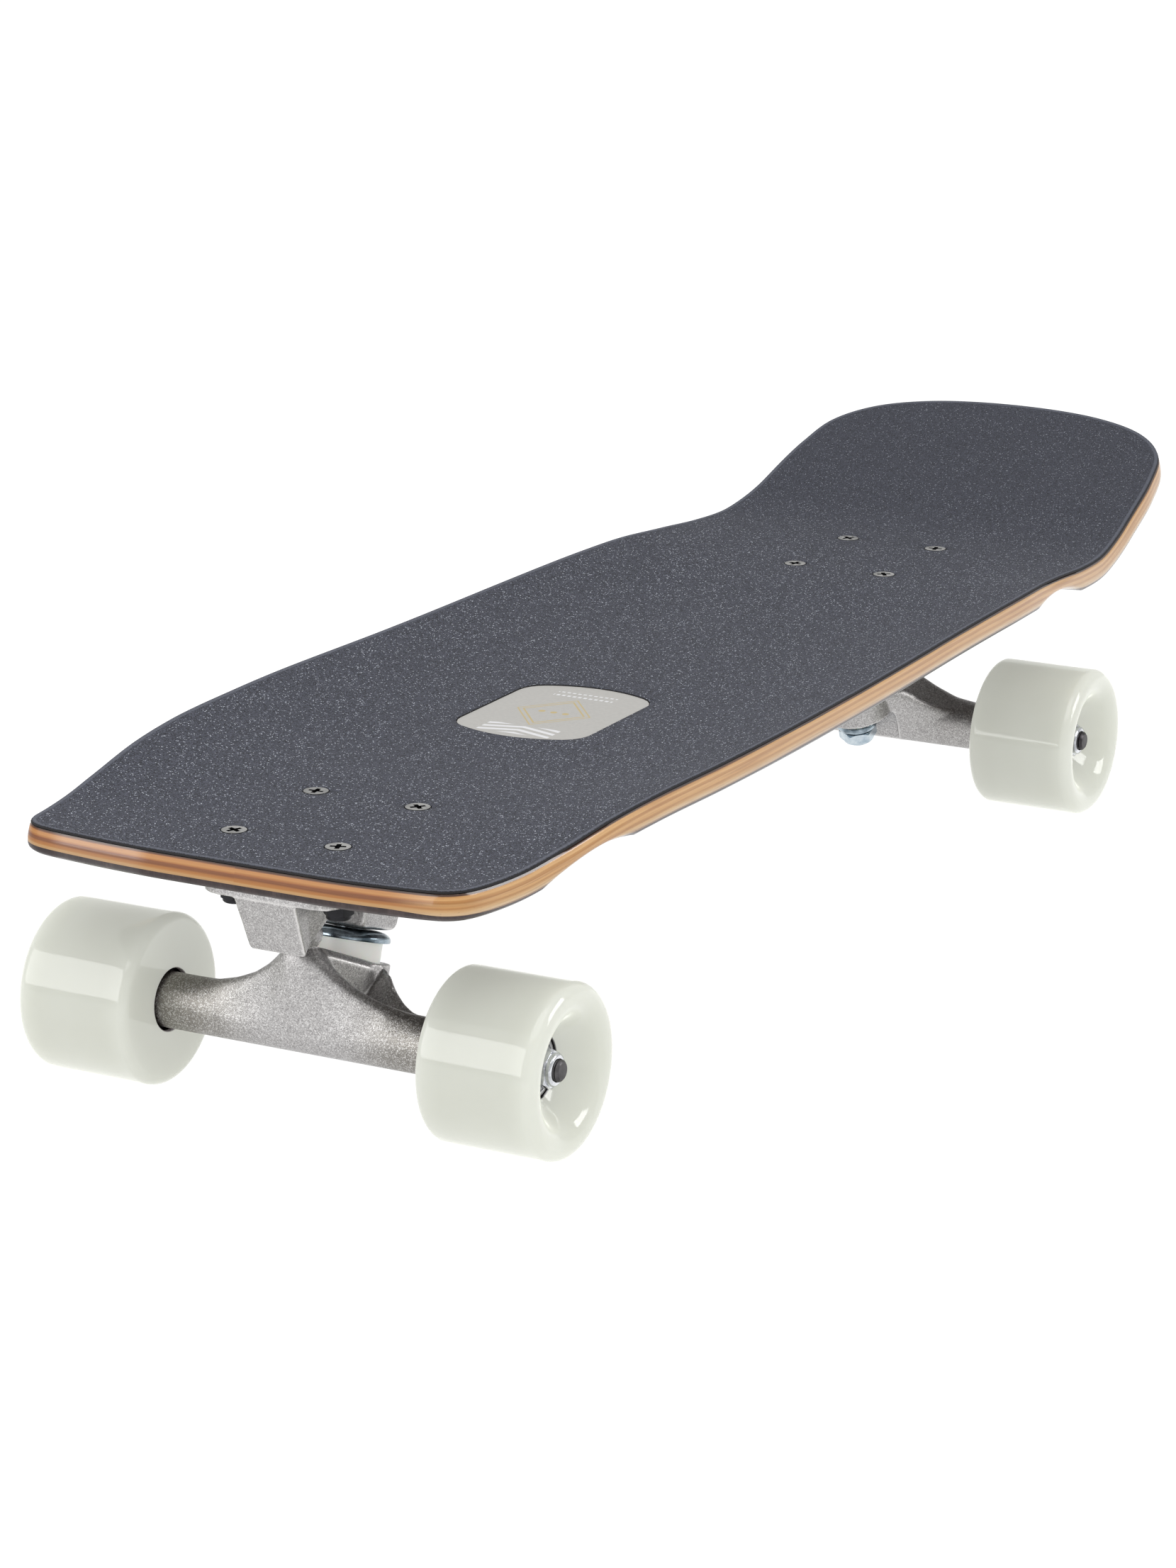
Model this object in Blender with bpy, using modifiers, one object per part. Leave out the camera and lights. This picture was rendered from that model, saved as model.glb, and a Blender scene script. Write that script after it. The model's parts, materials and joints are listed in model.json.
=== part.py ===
"""Cruiser skateboard: pressed maple deck, two cast trucks, four urethane wheels.

Frame: +X to the nose, +Y to the rider's left, +Z up, the origin on the floor
under the middle of the board.
Each truck is drawn once, in its own frame: the origin on the deck's underside
over the middle of the bolt pattern, +X to the board's nearer end.
"""
import math

import bmesh
import bpy
import numpy as np
from mathutils import Matrix, Vector

MM = 0.001

# Clearances
FIT = 0.3 * MM              # gap between pieces that touch or are glued
RUN = 0.1 * MM              # radial gap between a turning piece and its shaft
MERGE = 1e-6                # distance under which vertices become one
FLAT_ANGLE = 0.003          # faces that turn by less than this are one plane
CLEAR = 8 * MM              # how far a cutter stands past what it cuts

# Board as a whole
BOLT_PATTERN_X = 447.68 * MM    # between the middles of the two bolt patterns
BOLT_X = 53.975 * MM            # bolt spacing along the board
BOLT_Y = 41.275 * MM            # bolt spacing across the board
WHEEL_R = 31.0 * MM
AXLE_DROP = 72.0 * MM           # axle under the griptape's face at the bolts
GRIP_Z = WHEEL_R + AXLE_DROP    # griptape's face over the floor, at the bolts

# Deck
GRIP_T = 0.9 * MM
DECK_T = 9.3 * MM
NOSE_X = 283.5 * MM
TAIL_X = -390.0 * MM
BOARD_X = -(NOSE_X + TAIL_X) / 2    # middle of the bolt patterns in the frame
# half outline of the deck's top edge: x from the nose's end, from the middle of
# the bolt patterns and from the tail's end, with y
NOSE_OUTLINE = [
    (0, 0), (0, 33), (0.4, 58), (0.7, 75.8), (0.1, 79.8), (-1.8, 83.2), (-4.9, 85.8),
    (-8.4, 87.1), (-19.5, 89.4),
]
MIDDLE_OUTLINE = [
    (246, 92.3), (205, 97.3), (160, 101.1), (95, 103.3), (10, 101.8),
    (-90, 99.4), (-170, 97.0), (-206, 94.3), (-250, 92.3), (-300, 88.5),
]
TAIL_OUTLINE = [(50, 85.3), (29, 80.2), (14, 66.5), (4, 42), (0, 0)]
OUTLINE_STEP = 20.0 * MM            # spacing of the outline's vertices
FLAT_SHARE = 0.3                    # flat share of the half width
SPINE = (-322 * MM, 222 * MM)       # ends of the line that the rings close on
RINGS = (0.0, FLAT_SHARE, 0.55, 0.78, 1.0)
# rail: outset from the top edge and share of the thickness, top to bottom
RAIL = ((-0.7, 0.0), (0.5, 0.18), (0.8, 0.5), (0.3, 0.82), (-1.8, 1.0))
# rise of the edge over the centre line along the board, x and rise
EDGE_RISE = [
    (-392, 0.1), (-350, 1.1), (-305, 2.3), (-285, 2.1), (-262, 1.15), (-245, 1.7),
    (-215, 4.2), (-188, 6.1), (-150, 7.1), (0, 7.8), (120, 8.7), (170, 8.6),
    (196, 7.3), (228, 3.7), (250, 1.65), (264, 1.5), (290, 3.2),
]
# half width that the concave and the wheel wells are measured from, x and width
HALF_WIDTH = [
    (-390, 80), (-330, 86), (-250, 92.3), (-150, 97.6), (95, 103), (200, 97.6), (285, 88),
]
CENTRE_DIP = 1.5 * MM               # centre line under the bolts' level, mid board
DIP_X = (120 * MM, 182 * MM)        # where the dip starts to fade and ends
CONCAVE_POWER = 1.8
KICK_X = -266 * MM                  # start of the kicktail's bend
KICK_RUN = 40 * MM                  # length of the bend
KICK_SLOPE = 0.353
WELL_X = 208 * MM                   # middle of each wheel well
WELL_HALF = 31 * MM
WELL_DEPTH = 3.9 * MM
WELL_IN = 30 * MM                   # how far a well reaches in from the edge

# Label window in the griptape
LABEL_X = 58.6 * MM
LABEL_HALF_X = 38.4 * MM
LABEL_HALF_Y = 27.5 * MM
LABEL_END_R = 47 * MM
LABEL_CORNER = 12 * MM
LABEL_T = 0.5 * MM

# Deck bolts and lock nuts
BOLT_R = 2.4 * MM
BOLT_HEAD_R = 4.65 * MM
BOLT_HEAD_RIM = 0.3 * MM            # straight rim of the countersunk head
BOLT_HEAD_H = 2.6 * MM
BOLT_PROUD = 0.1 * MM               # bolt's head over the griptape's face
BOLT_END = 25.2 * MM                # bolt's end under the griptape's face
CROSS_L = 4.6 * MM
CROSS_W = 1.1 * MM
CROSS_H = 1.8 * MM
CROSS_TAPER = 0.6                   # share of the slots' size at their foot
LOCKNUT_AF = 9.5 * MM
LOCKNUT_H = 6.0 * MM

# Truck, in its own frame
PLATE_L = 84 * MM
PLATE_W = 55 * MM
PLATE_T = 8.5 * MM
PLATE_CORNER = 9 * MM
AXLE_X = 11.4 * MM
AXLE_Z = GRIP_Z - WHEEL_R - GRIP_T - FIT - DECK_T      # axle under the plate's face
STEER_ANGLE = math.radians(42)      # steering axis over the horizontal
KINGPIN_LEAN = math.radians(18)
RING_X = -9.5 * MM                  # middle of the hanger's ring
RING_Z = -49.8 * MM
CUP_FACE = 45.5 * MM                # from the ring's middle to the cup's face
CUP_R = 8.4 * MM
CUP_END_R = 6.2 * MM
CUP_DEPTH = 11.2 * MM
PIVOT_R = 5.0 * MM
PIVOT_TIP = 5.6 * MM                # middle of the pivot's ball past the cup's face
SEAT_HALF = 2.25 * MM               # half the thickness of the ring's web
RING_RIM = 6.5 * MM                 # rim's height each side of the ring's middle
RING_R = 16.0 * MM
RING_BORE = 7.0 * MM
BUSH_R = 12.2 * MM
BUSH_BOARD_H = 12.6 * MM
BUSH_ROAD_H = 10.2 * MM
BUSH_ROAD_R = 7.6 * MM              # small end of the road-side cone
CUP_WASHER_T = 2.0 * MM
BOARD_WASHER_R = 14.8 * MM
ROAD_WASHER_R = 9.2 * MM
KINGPIN_R = 4.76 * MM
KINGPIN_HEAD_TOP = 47.5 * MM
KINGPIN_AF = 14.3 * MM
KINGPIN_HEAD_H = 6.0 * MM
KINGPIN_NUT_H = 5.8 * MM
BARREL_R = 10.2 * MM
HANGER_HALF = 65.2 * MM
# sections of the hanger's arch and of its rear web, from the middle outwards:
# y, then x, z and radius of the upper circle
ARCH_STATIONS = [
    (2.5, 17.5, -35.6, 6.2), (6, 17.3, -36.6, 5.2), (10.5, 17.0, -40.2, 4.0),
    (14, 16.6, -43.1, 3.7), (20, 16.0, -47.0, 3.5), (28, 15.0, -50.5, 3.5),
    (38, 13.2, -53.8, 3.8),
]
WEB_STATIONS = [
    (13, -11.0, -48.9, 2.4), (17, -9.2, -46.9, 2.3), (21, -5.7, -47.1, 2.2),
    (24, -2.6, -49.2, 2.2), (27, -0.6, -51.3, 2.2), (31, 1.9, -53.5, 2.2),
    (36, 4.4, -55.0, 2.2), (42, 6.9, -56.0, 2.5),
]
WEB_ROOT_R = 6.6 * MM               # lower circle of the rear web's sections
# arm from the ring to the arch: x, half width and rise over the ring's rim
ARM_STATIONS = ((-1, 15.6, 0), (9, 15.0, 1.3), (26, 8.0, 3.6))
ARM_CHAMFER = 2.6 * MM
AXLE_R = 3.97 * MM
AXLE_PAST_NUT = 1.8 * MM            # axle's end beyond its nut
AXLE_NUT_AF = 12.7 * MM
AXLE_NUT_H = 7.0 * MM

# Wheel and bearings, along the axle from the wheel's inner face
WHEEL_IN_Y = 57.5 * MM
WHEEL_W = 45.6 * MM
LIP_IN = 3.6 * MM
LIP_OUT = 4.6 * MM
# bowl from the lip to the bearing: radius, then depth under the outer face
BOWL = ((24.3, 0.9), (21.0, 3.3), (17.0, 7.0), (13.6, 10.8))
BEARING_R = 11.0 * MM
BEARING_W = 7.0 * MM
BEARING_GAP = 10.0 * MM
BEARING_IN_Y = HANGER_HALF + FIT
CORE_R = 7.6 * MM
SPACER_R = 5.6 * MM

AXLE_HALF = BEARING_IN_Y + 2 * BEARING_W + BEARING_GAP + FIT + AXLE_NUT_H + AXLE_PAST_NUT

# Segments of round pieces and the angle over which an edge stays sharp
WHEEL_SEGS = 32
RING_SEGS = 28
FINE_SEGS = 20
SEGS = 16
SMALL_SEGS = 12
HEX = 6
SHARP_ANGLE = math.radians(38)


def clear_scene():
    for obj in list(bpy.data.objects):
        bpy.data.objects.remove(obj, do_unlink=True)


def make_collection(name):
    col = bpy.data.collections.new(name)
    bpy.context.scene.collection.children.link(col)
    return col


def make_material(name, color, rough, metal=0.0):
    mat = bpy.data.materials.new(name)
    mat.use_nodes = True
    bsdf = mat.node_tree.nodes["Principled BSDF"]
    bsdf.inputs["Base Color"].default_value = (*color, 1.0)
    bsdf.inputs["Roughness"].default_value = rough
    bsdf.inputs["Metallic"].default_value = metal
    return mat


def new_object(name, mesh, col):
    obj = bpy.data.objects.new(name, mesh)
    col.objects.link(obj)
    return obj


def mesh_from(name, verts, faces):
    mesh = bpy.data.meshes.new(name)
    mesh.from_pydata([tuple(v) for v in verts], [], faces)
    tidy(mesh)
    return mesh


def tidy(mesh):
    """Merge doubled vertices and leave flat faces with their normals out."""
    bm = bmesh.new()
    bm.from_mesh(mesh)
    bmesh.ops.remove_doubles(bm, verts=bm.verts, dist=MERGE)
    bmesh.ops.dissolve_degenerate(bm, edges=bm.edges, dist=MERGE)
    bmesh.ops.dissolve_limit(bm, angle_limit=FLAT_ANGLE, verts=bm.verts, edges=bm.edges)
    bmesh.ops.triangulate(bm, faces=bm.faces)
    bmesh.ops.recalc_face_normals(bm, faces=bm.faces)
    bm.to_mesh(mesh)
    bm.free()
    mesh.update()


def settle(obj):
    """Replace an object's mesh by the mesh its modifiers give."""
    graph = bpy.context.evaluated_depsgraph_get()
    mesh = bpy.data.meshes.new_from_object(obj.evaluated_get(graph))
    obj.modifiers.clear()
    obj.data = mesh
    tidy(mesh)
    return obj


def combine(obj, tool, operation):
    """Cut a tool from an object or join the tool to it, and drop the tool."""
    tool.hide_render = True
    tool.display_type = "WIRE"
    mod = obj.modifiers.new(operation.lower(), "BOOLEAN")
    mod.operation = operation
    mod.solver = "EXACT"
    mod.object = tool
    settle(obj)
    bpy.data.objects.remove(tool, do_unlink=True)
    return obj


def cut(obj, tool):
    return combine(obj, tool, "DIFFERENCE")


def join(obj, tool):
    return combine(obj, tool, "UNION")


def lathe(name, profile, segs, col, frame=None):
    """Turn a profile of (radius, height) points about the frame's Z."""
    closed = profile[0][0] > MERGE or profile[-1][0] > MERGE
    count = len(profile)
    edges = [(i, i + 1) for i in range(count - 1)]
    if closed:
        edges.append((count - 1, 0))
    mesh = bpy.data.meshes.new(name)
    mesh.from_pydata([(r, 0.0, h) for r, h in profile], edges, [])
    obj = new_object(name, mesh, col)
    screw = obj.modifiers.new("turn", "SCREW")
    screw.axis = "Z"
    screw.steps = segs
    screw.render_steps = segs
    screw.use_merge_vertices = True
    screw.merge_threshold = MERGE
    settle(obj)
    if frame is not None:
        obj.data.transform(frame)
    return obj


def rod(name, radius, low, high, segs, col, frame=None):
    return lathe(name, [(0, high), (radius, high), (radius, low), (0, low)], segs, col, frame)


def hex_radius(flats):
    return flats / 2 / math.cos(math.pi / 6)


def hull(name, points, col):
    """The convex solid around a few corner points."""
    bm = bmesh.new()
    for point in points:
        bm.verts.new(point)
    found = bmesh.ops.convex_hull(bm, input=bm.verts)
    spare = [e for e in found["geom_interior"] if isinstance(e, bmesh.types.BMVert)]
    bmesh.ops.delete(bm, geom=spare, context="VERTS")
    bmesh.ops.dissolve_limit(bm, angle_limit=0.01, verts=bm.verts, edges=bm.edges)
    bmesh.ops.recalc_face_normals(bm, faces=bm.faces)
    mesh = bpy.data.meshes.new(name)
    bm.to_mesh(mesh)
    bm.free()
    return new_object(name, mesh, col)


def both_sides(points):
    return [(x, side * y, z) for x, y, z in points for side in (1, -1)]


def prism(name, outline, low, high, col):
    """Stand a flat outline up between two heights."""
    count = len(outline)
    verts = [(x, y, low) for x, y in outline] + [(x, y, high) for x, y in outline]
    faces = [tuple(range(count)), tuple(range(count, 2 * count))]
    faces += [(i, (i + 1) % count, (i + 1) % count + count, i + count) for i in range(count)]
    return new_object(name, mesh_from(name, verts, faces), col)


def loft(name, sections, col):
    """Skin closed sections that all have the same number of points."""
    count = len(sections[0])
    verts = [point for section in sections for point in section]
    faces = [tuple(range(count)), tuple(range((len(sections) - 1) * count, len(sections) * count))]
    for k in range(len(sections) - 1):
        for i in range(count):
            a = k * count + i
            b = k * count + (i + 1) % count
            faces.append((a, b, b + count, a + count))
    return new_object(name, mesh_from(name, verts, faces), col)


def bevel(obj, width, segments, angle=0.6):
    mod = obj.modifiers.new("bevel", "BEVEL")
    mod.width = width
    mod.segments = segments
    mod.limit_method = "ANGLE"
    mod.angle_limit = angle
    return settle(obj)


def arc(cx, cy, radius, start, stop, count):
    return [
        (cx + radius * math.cos(math.radians(a)), cy + radius * math.sin(math.radians(a)))
        for a in np.linspace(start, stop, count)
    ]


def axis_frame(origin, direction):
    """A frame at an origin with its Z along a direction in the XZ plane."""
    z_axis = Vector(direction).normalized()
    y_axis = Vector((0, 1, 0))
    x_axis = y_axis.cross(z_axis)
    turn = Matrix((x_axis, y_axis, z_axis)).transposed().to_4x4()
    return Matrix.Translation(origin) @ turn


RING = Vector((RING_X, 0, RING_Z))
STEER = Vector((math.cos(STEER_ANGLE), 0, math.sin(STEER_ANGLE)))
UP_PIN = Vector((-math.sin(KINGPIN_LEAN), 0, math.cos(KINGPIN_LEAN)))
PIN_FRAME = axis_frame(RING, UP_PIN)
STEER_FRAME = axis_frame(RING, STEER)
AXLE = Vector((AXLE_X, 0, -AXLE_Z))
AXLE_FRAME = Matrix.Translation(AXLE) @ Matrix.Rotation(-math.pi / 2, 4, "X")

# Distances along the kingpin from the ring's middle
BOARD_WASHER_LOW = SEAT_HALF + FIT + BUSH_BOARD_H + FIT
BOSS_LOW = BOARD_WASHER_LOW + CUP_WASHER_T + FIT
ROAD_WASHER_HIGH = -(SEAT_HALF + FIT + BUSH_ROAD_H + FIT)
NUT_HIGH = ROAD_WASHER_HIGH - CUP_WASHER_T - FIT
NUT_LOW = NUT_HIGH - KINGPIN_NUT_H


# Shape of the deck
def smooth(t):
    t = np.clip(t, 0.0, 1.0)
    return t * t * (3 - 2 * t)


def table(pairs, x):
    """Smooth curve through a few (x, value) points given in millimetres."""
    xs = np.array([p[0] for p in sorted(pairs)]) * MM
    vs = np.array([p[1] for p in sorted(pairs)]) * MM
    slopes = np.gradient(vs, xs)
    x = np.clip(x, xs[0], xs[-1])
    i = np.clip(np.searchsorted(xs, x) - 1, 0, len(xs) - 2)
    h = xs[i + 1] - xs[i]
    t = (x - xs[i]) / h
    return (
        (2 * t**3 - 3 * t**2 + 1) * vs[i] + (t**3 - 2 * t**2 + t) * h * slopes[i]
        + (3 * t**2 - 2 * t**3) * vs[i + 1] + (t**3 - t**2) * h * slopes[i + 1]
    )


def kick(x):
    """Height and slope of the kicktail's centre line."""
    run = np.clip(KICK_X - x, 0, None)
    bend = np.minimum(run, KICK_RUN)
    height = KICK_SLOPE * bend**2 / (2 * KICK_RUN) + KICK_SLOPE * (run - bend)
    return height, KICK_SLOPE * bend / KICK_RUN


def face_height(x, y):
    """Height of the griptape's face over the bolts' level."""
    dip = CENTRE_DIP * smooth((DIP_X[1] - abs(x)) / (DIP_X[1] - DIP_X[0]))
    share = np.clip(abs(y) / table(HALF_WIDTH, x), 0, 1)
    curve = np.clip((share - FLAT_SHARE) / (1 - FLAT_SHARE), 0, 1) ** CONCAVE_POWER
    return kick(x)[0] - dip + (table(EDGE_RISE, x) + dip) * curve


def well_depth(x, y):
    """How much of the deck's underside the wheel wells take away."""
    along = np.cos(np.clip((abs(x) - WELL_X) / WELL_HALF, -1, 1) * math.pi / 2) ** 2
    inward = smooth((abs(y) - table(HALF_WIDTH, x) + WELL_IN) / WELL_IN)
    return WELL_DEPTH * along * inward


def outline_points():
    """Vertices of the deck's top edge, nose first, down the left side and back."""
    pts = [np.array((x, y)) * MM + (NOSE_X, 0) for x, y in NOSE_OUTLINE]
    pts += [np.array((x, y)) * MM for x, y in MIDDLE_OUTLINE]
    pts += [np.array((x, y)) * MM + (TAIL_X, 0) for x, y in TAIL_OUTLINE]
    mirror = np.array([1, -1])
    pts = [pts[1] * mirror] + pts + [pts[-2] * mirror]
    half = []
    for p0, p1, p2, p3 in zip(pts, pts[1:], pts[2:], pts[3:]):
        gap = np.linalg.norm(p2 - p1)
        steps = max(1, round(gap / OUTLINE_STEP))
        t1 = np.linalg.norm(p1 - p0) ** 0.5
        t2 = t1 + gap**0.5
        t3 = t2 + np.linalg.norm(p3 - p2) ** 0.5
        for k in range(steps):
            t = t1 + (t2 - t1) * k / steps
            a1 = (t1 - t) / t1 * p0 + t / t1 * p1
            a2 = (t2 - t) / (t2 - t1) * p1 + (t - t1) / (t2 - t1) * p2
            a3 = (t3 - t) / (t3 - t2) * p2 + (t - t2) / (t3 - t2) * p3
            b1 = (t2 - t) / t2 * a1 + t / t2 * a2
            b2 = (t3 - t) / (t3 - t1) * a2 + (t - t1) / (t3 - t1) * a3
            half.append((t2 - t) / (t2 - t1) * b1 + (t - t1) / (t2 - t1) * b2)
    half.append(pts[-2])
    right = [p * mirror for p in reversed(half[1:-1])]
    return np.array(half + right)


def board_shell(name, drop, thickness, rail, wells, col):
    """A sheet that follows the board's face: rings inwards, then the rail."""
    top = outline_points()
    count = len(top)
    ahead = np.roll(top, -1, axis=0) - np.roll(top, 1, axis=0)
    out = np.column_stack([ahead[:, 1], -ahead[:, 0]])
    out /= np.linalg.norm(out, axis=1)[:, None]
    out *= np.sign((out * top).sum(axis=1))[:, None]
    spine = np.column_stack([np.clip(top[:, 0], *SPINE), np.zeros(count)])
    verts = []

    def add_ring(plan, share):
        x, y = plan[:, 0], plan[:, 1]
        slope = kick(x)[1]
        thick = thickness - (well_depth(x, y) if wells else 0)
        z = face_height(x, y) - (drop + share * thick) * np.sqrt(1 + slope**2)
        verts.extend(zip(x, y, z))

    edge = top + out * rail[0][0] * MM
    for share in RINGS:
        add_ring(spine + share * (edge - spine), 0.0)
    for outset, share in rail[1:-1]:
        add_ring(top + out * outset * MM, share)
    edge = top + out * rail[-1][0] * MM
    for share in reversed(RINGS):
        add_ring(spine + share * (edge - spine), 1.0)
    rings = len(verts) // count
    faces = []
    for k in range(rings - 1):
        for i in range(count):
            a = k * count + i
            b = k * count + (i + 1) % count
            faces.append((a, b, b + count, a + count))
    mesh = mesh_from(name, verts, faces)
    return new_object(name, mesh, col)


def bolt_places():
    return [
        (end * BOLT_PATTERN_X / 2 + sx * BOLT_X / 2, sy * BOLT_Y / 2)
        for end in (1, -1) for sx in (1, -1) for sy in (1, -1)
    ]


def label_outline(grow):
    """Straight sides, arched ends and rounded corners."""
    half_x, half_y = LABEL_HALF_X + grow, LABEL_HALF_Y + grow
    end_r, corner = LABEL_END_R + grow, LABEL_CORNER + grow
    # corner arc touches both the straight side and the end's arc
    cy = half_y - corner
    cx = half_x - end_r + math.sqrt((end_r - corner) ** 2 - cy**2)
    lean = math.atan2(cy, cx - (half_x - end_r))
    spread = np.linspace(0, lean, 6)[:-1]
    quarter = [(half_x - end_r + end_r * math.cos(a), end_r * math.sin(a)) for a in spread]
    spread = np.linspace(lean, math.pi / 2, 5)
    quarter += [(cx + corner * math.cos(a), cy + corner * math.sin(a)) for a in spread]
    back = [(-x, y) for x, y in reversed(quarter)]
    upper = quarter + back
    lower = [(-x, -y) for x, y in upper[1:-1]]
    return [(x + LABEL_X, y) for x, y in upper + lower]


def bolt_profile(grow, top, end):
    head = BOLT_HEAD_R + grow
    shank = BOLT_R + grow
    return [
        (0, top), (head, top), (head, -BOLT_HEAD_RIM),
        (shank, -BOLT_HEAD_RIM - BOLT_HEAD_H), (shank, -end), (0, -end),
    ]


def cross_cutter(bench):
    """Two crossed slots that narrow downwards."""
    arms = []
    for length, width in ((CROSS_L, CROSS_W), (CROSS_W, CROSS_L)):
        corners = [
            (sx * length / 2 * share, sy * width / 2 * share, z)
            for sx in (1, -1) for sy in (1, -1)
            for z, share in ((CROSS_H, 1.0), (-CROSS_H, CROSS_TAPER))
        ]
        arms.append(hull("cross", corners, bench))
    return join(arms[0], arms[1])


def build_board(col, bench):
    place = Vector((BOARD_X, 0, GRIP_Z))
    wood = make_material("maple", (0.72, 0.45, 0.24), 0.35)
    grit = make_material("griptape", (0.09, 0.10, 0.13), 0.9)
    print_mat = make_material("label", (0.56, 0.56, 0.57), 0.6)
    steel = make_material("bolt_steel", (0.62, 0.62, 0.62), 0.35, 0.9)
    black = make_material("black_oxide", (0.03, 0.03, 0.035), 0.45, 0.6)

    deck = board_shell("deck", GRIP_T + FIT, DECK_T, RAIL, True, col)
    grip = board_shell("griptape", 0.0, GRIP_T, ((-0.9, 0.0), (-0.5, 1.0)), False, col)
    for sheet in (deck, grip):
        for x, y in bolt_places():
            past = GRIP_T + DECK_T + CLEAR
            at = Matrix.Translation((x, y, 0))
            cut(sheet, lathe("hole", bolt_profile(FIT, CLEAR, past), SMALL_SEGS, bench, at))
    window = prism("window", label_outline(0.0), -CLEAR, CLEAR, bench)
    cut(grip, window)
    label_low = -CENTRE_DIP - GRIP_T
    label = prism("deck_label", label_outline(-FIT), label_low, label_low + LABEL_T, col)
    for obj, mat in ((deck, wood), (grip, grit), (label, print_mat)):
        obj.location = place
        obj.data.materials.append(mat)

    bolt = lathe("bolt", bolt_profile(0.0, BOLT_PROUD, BOLT_END), SMALL_SEGS, bench)
    cut(bolt, cross_cutter(bench))
    nut_top = -(GRIP_T + FIT + DECK_T + FIT + PLATE_T + FIT)
    nut = lock_nut("nut", LOCKNUT_AF, LOCKNUT_H, BOLT_R + FIT, nut_top, bench)
    for number, (x, y) in enumerate(bolt_places()):
        end = "front" if number < 4 else "rear"
        for kind, source, mat in (("bolt", bolt, steel), ("locknut", nut, black)):
            obj = new_object("%s_%s_%d" % (kind, end, number % 4 + 1), source.data.copy(), col)
            obj.location = place + Vector((x, y, 0))
            obj.data.materials.append(mat)
    for source in (bolt, nut):
        bpy.data.objects.remove(source, do_unlink=True)


def lock_nut(name, flats, height, bore, top, bench):
    """A hex nut with a round locking collar under it."""
    body_h = height * 0.7
    collar = flats / 2 * 0.9
    nut = rod(name, hex_radius(flats), top - body_h, top, HEX, bench)
    join(nut, lathe("collar", [
        (0, top - body_h / 2), (collar, top - body_h / 2), (collar, top - height + 0.4 * MM),
        (collar - 0.4 * MM, top - height), (0, top - height),
    ], SMALL_SEGS, bench))
    return cut(nut, rod("bore", bore, top - 2 * height, top + height, SMALL_SEGS, bench))


# Trucks
def rounded_plate(name, half_x, half_y, corner, low, high, bench):
    outline = []
    for sx, sy, start in ((1, 1, 0), (-1, 1, 90), (-1, -1, 180), (1, -1, 270)):
        centre_x = sx * (half_x - corner)
        centre_y = sy * (half_y - corner)
        outline += arc(centre_x, centre_y, corner, start, start + 90, 5)
    return prism(name, outline, low, high, bench)


def build_baseplate(bench):
    plate = rounded_plate("baseplate", PLATE_L / 2, PLATE_W / 2, PLATE_CORNER, -PLATE_T, -FIT, bench)
    bevel(plate, 1.0 * MM, 2)

    # seat for the kingpin, square to the kingpin
    foot, base = 12.5 * MM, 14.0 * MM
    boss = hull("boss", [
        (sx * size, sy * size, h) for sx in (1, -1) for sy in (1, -1)
        for size, h in ((foot, BOSS_LOW), (base, BOSS_LOW + 26 * MM))
    ], bench)
    bevel(boss, 3.0 * MM, 2)
    boss.data.transform(PIN_FRAME)
    join(plate, boss)

    # pivot housing: front wall, then the wedge behind it
    face = RING + STEER * CUP_FACE
    down = Vector((math.sin(STEER_ANGLE), 0, -math.cos(STEER_ANGLE)))
    lip = face + down * 13.2 * MM
    back = face - down * 14.4 * MM
    into = -3.0 * MM
    front_x = PLATE_L / 2 - 0.4 * MM
    under = -PLATE_T - 0.5 * MM
    lip_w = 3.4 * MM
    lip_back = lip.z + lip_w / math.tan(STEER_ANGLE)
    wall = hull("wall", both_sides([
        (lip.x, 11.2 * MM, lip.z), (lip.x - lip_w, 10.8 * MM, lip_back),
        (front_x, 12.2 * MM, under), (front_x - 1 * MM, 12.2 * MM, into),
        (front_x - 8 * MM, 12.2 * MM, into),
    ]), bench)
    bevel(wall, 0.8 * MM, 2)
    wedge = hull("wedge", both_sides([
        (lip.x - 1.0 * MM, 9.6 * MM, lip.z + 1.2 * MM), (front_x - 1.5 * MM, 10.6 * MM, under),
        (back.x, 18.0 * MM, back.z), (back.x, 18.0 * MM, into),
    ]), bench)
    join(plate, join(wall, wedge))

    low, high = CUP_FACE - 6 * MM, CUP_FACE + CUP_DEPTH + FIT
    bore = lathe("bore", [
        (0, high), (CUP_END_R + FIT, high), (CUP_R + FIT, CUP_FACE), (CUP_R + FIT, low), (0, low),
    ], FINE_SEGS, bench, STEER_FRAME)
    cut(plate, bore)
    nut_room = hex_radius(LOCKNUT_AF) + 0.9 * MM
    nut_low = -PLATE_T - 20 * MM
    for sx in (1, -1):
        for sy in (1, -1):
            cut(plate, lathe("hole", [
                (0, CLEAR), (BOLT_R + FIT, CLEAR), (BOLT_R + FIT, -PLATE_T),
                (nut_room, -PLATE_T), (nut_room, nut_low), (0, nut_low),
            ], SEGS, bench, Matrix.Translation((sx * BOLT_X / 2, sy * BOLT_Y / 2, 0))))
    head_low = KINGPIN_HEAD_TOP - KINGPIN_HEAD_H - FIT
    head_room = hex_radius(KINGPIN_AF) + 0.6 * MM
    pin = lathe("pin", [
        (0, 70 * MM), (head_room, 70 * MM), (head_room, head_low), (KINGPIN_R + FIT, head_low),
        (KINGPIN_R + FIT, 0), (0, 0),
    ], FINE_SEGS, bench, PIN_FRAME)
    return cut(plate, pin)


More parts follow.
